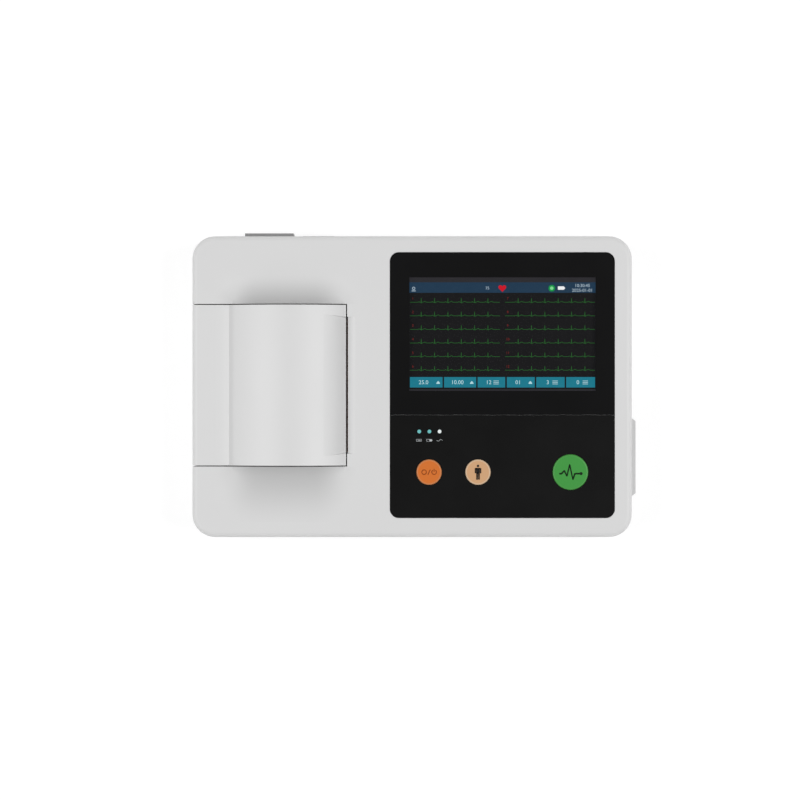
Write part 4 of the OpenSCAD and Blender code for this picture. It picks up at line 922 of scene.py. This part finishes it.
def makeButtons():
    back, front = screen["buttonRow"]
    faces, marks = [], []
    for left, right, number, sign in screen["buttons"]:
        low, high = onScreen(left, front), onScreen(right, back)
        faces.append(roundedSlab(low, high, layer(2), screen["thick"], 0.12 * mm))
    plates = joined(faces, "screen_buttons")
    rideScreen(plates, screen["buttonColour"])
    for left, right, number, sign in screen["buttons"]:
        middle = (left + right) / 2
        marks.append(digits(number, onScreen(middle - 1.6, back + 3.2), layer(3), 2.4 * mm))
        if sign == "arrow":  # two triangles, one in the other, fill its middle
            tip, foot = right - 2.6, back + 3.8
            for size in (0.95, 0.45):
                marks.append(stroke([onScreen(tip - size, foot), onScreen(tip, foot - 1.3 * size),
                                     onScreen(tip + size, foot)], layer(3), 0.5 * mm, True, 0.1))
        else:
            for line in range(3):
                down = back + 2.3 + 0.9 * line
                marks.append(stroke([onScreen(middle + 1.2, down), onScreen(middle + 4.4, down)],
                                    layer(3), 0.3 * mm, flat=0.1))
    labels = joined(marks, "screen_button_marks")
    rideScreen(labels, screen["buttonWords"])


def heart(centre, size):
    points = []
    for i in range(40):
        t = math.tau * i / 40
        x = 16 * math.sin(t) ** 3
        y = 13 * math.cos(t) - 5 * math.cos(2 * t) - 2 * math.cos(3 * t) - math.cos(4 * t)
        points.append((centre[0] + x * size / 32, centre[1] + y * size / 32))
    return points


def filled(points, base, thick):  # a flat plate with this outline
    deselectAll()
    bpy.ops.mesh.primitive_circle_add(vertices=len(points), radius=1, location=(0, 0, 0))
    plate = bpy.context.object
    mesh = editMesh(plate)
    mesh.verts.ensure_lookup_table()
    for vertex, (x, y) in zip(mesh.verts, points):
        vertex.co = (x, y, base)
        vertex.select = True
    bmesh.update_edit_mesh(plate.data)
    bpy.ops.mesh.select_all(action="SELECT")
    bpy.ops.mesh.edge_face_add()
    bpy.ops.mesh.extrude_region_move(TRANSFORM_OT_translate={"value": (0, 0, thick)})
    bpy.ops.mesh.select_all(action="SELECT")
    bpy.ops.mesh.normals_make_consistent(inside=False)
    deselectAll()
    return freeze(plate)


def makeStatusBar():
    words = [digits(text, onScreen(*middle), layer(2), height * mm)
             for text, middle, height in screen["status"]]
    words += [
        ring(onScreen(2.5, 6.6), 0.75 * mm, layer(2), 0.35 * mm, flat=0.1),
        stroke([onScreen(1.3, 8.1), onScreen(3.7, 8.1)], layer(2), 0.4 * mm, flat=0.1),
    ]
    rideScreen(joined(words, "screen_status_marks"), screen["statusColour"])
    thick = screen["thick"]
    battery = [
        roundedSlab(onScreen(87.9, 7.4), onScreen(91.6, 5.4), layer(2), thick, 0.15 * mm),
        roundedSlab(onScreen(91.5, 6.9), onScreen(92.1, 5.9), layer(2), thick, 0.05 * mm),
    ]
    rideScreen(joined(battery, "screen_battery"), screen["battery"])
    middle, size, colour = screen["heart"]
    pulse = filled(heart(onScreen(*middle), size * mm), layer(2), thick)
    rideScreen(rename(pulse, "screen_heart"), colour)
    middle, radius, colour = screen["ready"]
    lamp = disc(onScreen(*middle), layer(2), thick, radius * mm)
    rideScreen(rename(lamp, "screen_ready_dot"), colour)
    radius, colour = screen["readyCore"]
    core = disc(onScreen(*middle), layer(3), thick, radius * mm)
    rideScreen(rename(core, "screen_ready_core"), colour)


makeStrips()
makeStatusBar()
makeTraces()
makeButtons()
print("screen picture made")


def printed(piece, body, colour, name):  # a mark on a panel or a key
    rename(piece, name)
    piece.data.materials.clear()
    piece.data.materials.append(mouldedPlastic(name + "Ink", colour, 0.45, 0.01, 8000.0, 0.000005,
                                              specular=0.15))
    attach(piece, body)


lamps = {
    "mark": linear(186, 190, 192),
    "drop": 5.2 * mm,  # from a lamp to its mark
    "size": 1.7 * mm,
    "line": 0.22 * mm,
    "ink": 0.03 * mm,
    "lights": (linear(112, 192, 192), linear(112, 192, 192), linear(235, 240, 240)),
    "glow": 0.9,
    "dome": (0.98, 0.35),  # its radius and its height as a share of the lamp's radius
}
lampLow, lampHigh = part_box("status_leds")


def lampCentre(index):
    radius = (lampHigh.y - lampLow.y) / 2
    pitch = (lampHigh.x - lampLow.x - 2 * radius) / 2
    return lampLow.x + radius + index * pitch, (lampLow.y + lampHigh.y) / 2


def batteryFrame(x, y):
    size, tall = lamps["size"], lamps["size"] / 2 * 0.7
    return stroke([(x - size, y - tall), (x + size * 0.8, y - tall),
                   (x + size * 0.8, y + tall), (x - size, y + tall)],
                  keypadTop, lamps["line"], True)


def makeLampMarks():
    size, half, line, ink = lamps["size"], lamps["size"] / 2, lamps["line"], lamps["ink"]
    x, y = lampCentre(0)
    y -= lamps["drop"]
    marks = [batteryFrame(x, y), stroke([(x - half, y), (x + half, y)], keypadTop, line * 1.6)]
    x = lampCentre(1)[0]
    marks += [
        batteryFrame(x, y),
        roundedSlab((x, y - half * 0.7), (x + size * 0.8, y + half * 0.7), keypadTop, ink,
                    0.1 * mm),
        roundedSlab((x + size * 0.8, y - half * 0.3), (x + size * 1.05, y + half * 0.3), keypadTop,
                    ink, 0.05 * mm),
    ]
    x = lampCentre(2)[0]
    wave = [(x + size * i / 10, y + 0.28 * size * math.sin(math.pi * i / 10))
            for i in range(-10, 11)]
    marks.append(stroke(wave, keypadTop, line))
    printed(joined(marks, "lamp_marks"), "chassis", lamps["mark"], "lamp_marks")


def makeLampLights():
    fits, rise = lamps["dome"]
    radius = (lampHigh.y - lampLow.y) / 2
    for index, colour in enumerate(lamps["lights"]):
        deselectAll()
        x, y = lampCentre(index)
        bpy.ops.mesh.primitive_uv_sphere_add(
            segments=24, ring_count=12, radius=radius * fits, location=(x, y, 0))
        dome = bpy.context.object
        dome.scale.z = rise
        dome.location.z = lampHigh.z
        freeze(dome)
        editMesh(dome)
        bpy.ops.mesh.select_all(action="SELECT")
        bpy.ops.mesh.bisect(plane_co=(0, 0, lampHigh.z), plane_no=(0, 0, 1), clear_inner=True,
                            use_fill=True, threshold=0.000001)
        smoothed(dome, 40)
        rename(dome, "lamp_dome_%d" % (index + 1))
        dome.data.materials.append(lit("lampLight%d" % (index + 1), colour, lamps["glow"]))
        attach(dome, "chassis")


def keyTop(node):
    low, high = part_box(node)
    return (low.x + high.x) / 2, (low.y + high.y) / 2, high.z


powerMark = {
    "colour": linear(136, 62, 14),
    "line": 0.5 * mm,
    "loop": 1.35 * mm,  # radius of both rings
    "apart": 2.95 * mm,  # from the key's middle to each ring
    "slash": (0.7 * mm, 1.5 * mm),
    "stem": (0.2 * mm, 1.9 * mm),
}


def makePowerMark():
    x, y, top = keyTop("power_key")
    line, loop, apart = powerMark["line"], powerMark["loop"], powerMark["apart"]
    across, up = powerMark["slash"]
    stemLow, stemHigh = powerMark["stem"]
    marks = [
        ring((x - apart, y), loop, top, line),
        stroke([(x - across, y - up), (x + across, y + up)], top, line),
        ring((x + apart, y), loop, top, line, 125, 415),
        stroke([(x + apart, y + stemLow), (x + apart, y + stemHigh)], top, line),
    ]
    printed(joined(marks, "power_mark"), "power_button", powerMark["colour"], "power_mark")


patientMark = {
    "colour": (0.012, 0.01, 0.01),
    "ink": 0.03 * mm,
    "head": (3.65, 0.75),  # mm from the key's middle, and its radius
    # left, front, right, back and corner in mm: body, two arms, shoulders, two legs
    "parts": ((-1.0, -0.8, 1.0, 2.5, 0.4), (-1.85, -0.7, -1.2, 2.4, 0.3),
              (1.2, -0.7, 1.85, 2.4, 0.3), (-1.7, 1.7, 1.7, 2.5, 0.35),
              (-1.0, -4.5, -0.13, -0.2, 0.3), (0.13, -4.5, 1.0, -0.2, 0.3)),
}


def makePatientMark():
    x, y, top = keyTop("patient_key")
    up, radius = patientMark["head"]
    marks = [disc((x, y + up * mm), top, patientMark["ink"], radius * mm)]
    for left, front, right, back, corner in patientMark["parts"]:
        marks.append(roundedSlab((x + left * mm, y + front * mm), (x + right * mm, y + back * mm),
                                 top, patientMark["ink"], corner * mm))
    printed(joined(marks, "patient_mark"), "patient_button", patientMark["colour"], "patient_mark")


pulseMark = {
    "colour": linear(8, 36, 10),
    "line": 1.0 * mm,
    "shape": ((-6.6, -0.9), (-5.2, -0.9), (-3.6, 0.9), (-2.1, -2.4), (-0.45, 4.5), (1.45, -4.4),
              (2.6, -0.9), (6.0, -0.85)),  # mm from the key's middle
    "dot": (6.3, -0.85, 0.9),  # its place and radius
}


def makePulseMark():
    x, y, top = keyTop("print_key")
    across, up, radius = pulseMark["dot"]
    marks = [
        stroke([(x + dx * mm, y + dy * mm) for dx, dy in pulseMark["shape"]], top,
               pulseMark["line"], flat=0.15),
        disc((x + across * mm, y + up * mm), top, 0.06 * mm, radius * mm),
    ]
    printed(joined(marks, "pulse_mark"), "print_button", pulseMark["colour"], "pulse_mark")


makeLampMarks()
makeLampLights()
makePowerMark()
makePatientMark()
makePulseMark()
print("marks made")


# floor, lights and camera
studio = {
    "world": 0.22,
    # place, size and power of each softbox; the fills lie low, for the housing's outer faces
    "softboxes": {
        "leftSoftbox": ((-1.15, 0.0, 2.3), (0.9, 0.7), 26.5),
        "rightSoftbox": ((1.15, 0.0, 2.3), (0.9, 0.7), 28.0),
        "fill1": ((-1.4, 0.0, 0.03), (1.6, 0.05), 3.5),
        "fill2": ((1.4, 0.0, 0.03), (1.6, 0.05), 4.0),
        "fill3": ((0.0, -1.4, 0.03), (1.6, 0.05), 2.0),
        "fill4": ((0.0, 1.4, 0.03), (1.6, 0.05), 2.0),
    },
    "lampAim": (0, 0, 0.03),
    "floor": 8,  # metres across
    "floorLight": 0.9,  # what the floor sends back onto the machine
    "floorSeen": (0.3, 0.78),  # the floor's own colour and glow where it is looked at
    "floorFar": (0.35, 1.1, 1.0),  # from here to here its glow grows to white
    "sensor": 36,
    "view": 0.4728,  # width of the view at the deck
    "distance": 2.2,
    "aim": (-0.00893, -0.00919),
}


def makeFloor():
    deselectAll()
    bpy.ops.mesh.primitive_plane_add(size=studio["floor"], location=(0, 0, 0))
    floor = rename(bpy.context.object, "floor")
    material, tree, shader = emptyMaterial("paleFloor")
    own, glowSeen = studio["floorSeen"]
    preset(shader, {"Roughness": 0.9, "Specular IOR Level": 0.1})
    glow = tree.nodes.new("ShaderNodeEmission")
    path = tree.nodes.new("ShaderNodeLightPath")
    seen = mathNode(tree, "MAXIMUM", path.outputs["Is Camera Ray"],
                    mathNode(tree, "MAXIMUM", path.outputs["Is Glossy Ray"],
                             path.outputs["Is Transmission Ray"]))
    place = objectPlace(tree)
    away = tree.nodes.new("ShaderNodeVectorMath")
    away.operation = "LENGTH"
    tree.links.new(place, away.inputs[0])
    far = tree.nodes.new("ShaderNodeMapRange")
    far.interpolation_type = "SMOOTHSTEP"
    near, end, white = studio["floorFar"]
    preset(far, {"From Min": near, "From Max": end, "To Min": glowSeen, "To Max": white})
    feed(far, "Value", away.outputs["Value"])
    tree.links.new(mathNode(tree, "MULTIPLY", seen, far.outputs[0]), glow.inputs["Strength"])
    feed(shader, "Base Color", spread(tree, seen, studio["floorLight"], own))
    both = tree.nodes.new("ShaderNodeAddShader")
    tree.links.new(shader.outputs[0], both.inputs[0])
    tree.links.new(glow.outputs[0], both.inputs[1])
    tree.links.new(both.outputs[0], tree.nodes["Material Output"].inputs["Surface"])
    floor.data.materials.append(material)


def makeWorld():
    world = bpy.data.worlds.new("studio")
    bpy.context.scene.world = world
    world.use_nodes = True
    tree = world.node_tree
    back = tree.nodes["Background"]
    back.inputs["Color"].default_value = (1, 1, 1, 1)
    path = tree.nodes.new("ShaderNodeLightPath")
    seen = mathNode(tree, "MAXIMUM", path.outputs["Is Camera Ray"],
                    path.outputs["Is Transmission Ray"])
    tree.links.new(spread(tree, seen, studio["world"], 1.0), back.inputs["Strength"])


def addSoftbox(name, place, size, power):
    deselectAll()
    bpy.ops.object.light_add(type="AREA", location=place)
    lamp = bpy.context.object
    lamp.name = name
    lamp.data.shape = "RECTANGLE"
    lamp.data.size, lamp.data.size_y = size
    lamp.data.energy = power
    aim = Vector(studio["lampAim"]) - Vector(place)
    lamp.rotation_euler = aim.to_track_quat("-Z", "Y").to_euler()


def makeCamera():
    deselectAll()
    bpy.ops.object.camera_add(
        location=(*studio["aim"], panelTop + studio["distance"]), rotation=(0, 0, 0))
    camera = bpy.context.object
    camera.data.sensor_width = studio["sensor"]
    camera.data.lens = studio["sensor"] * studio["distance"] / studio["view"]
    bpy.context.scene.camera = camera


makeFloor()
makeWorld()
for name, (place, size, power) in studio["softboxes"].items():
    addSoftbox(name, place, size, power)
makeCamera()
bpy.context.scene.view_settings.view_transform = "Standard"
print("studio set")
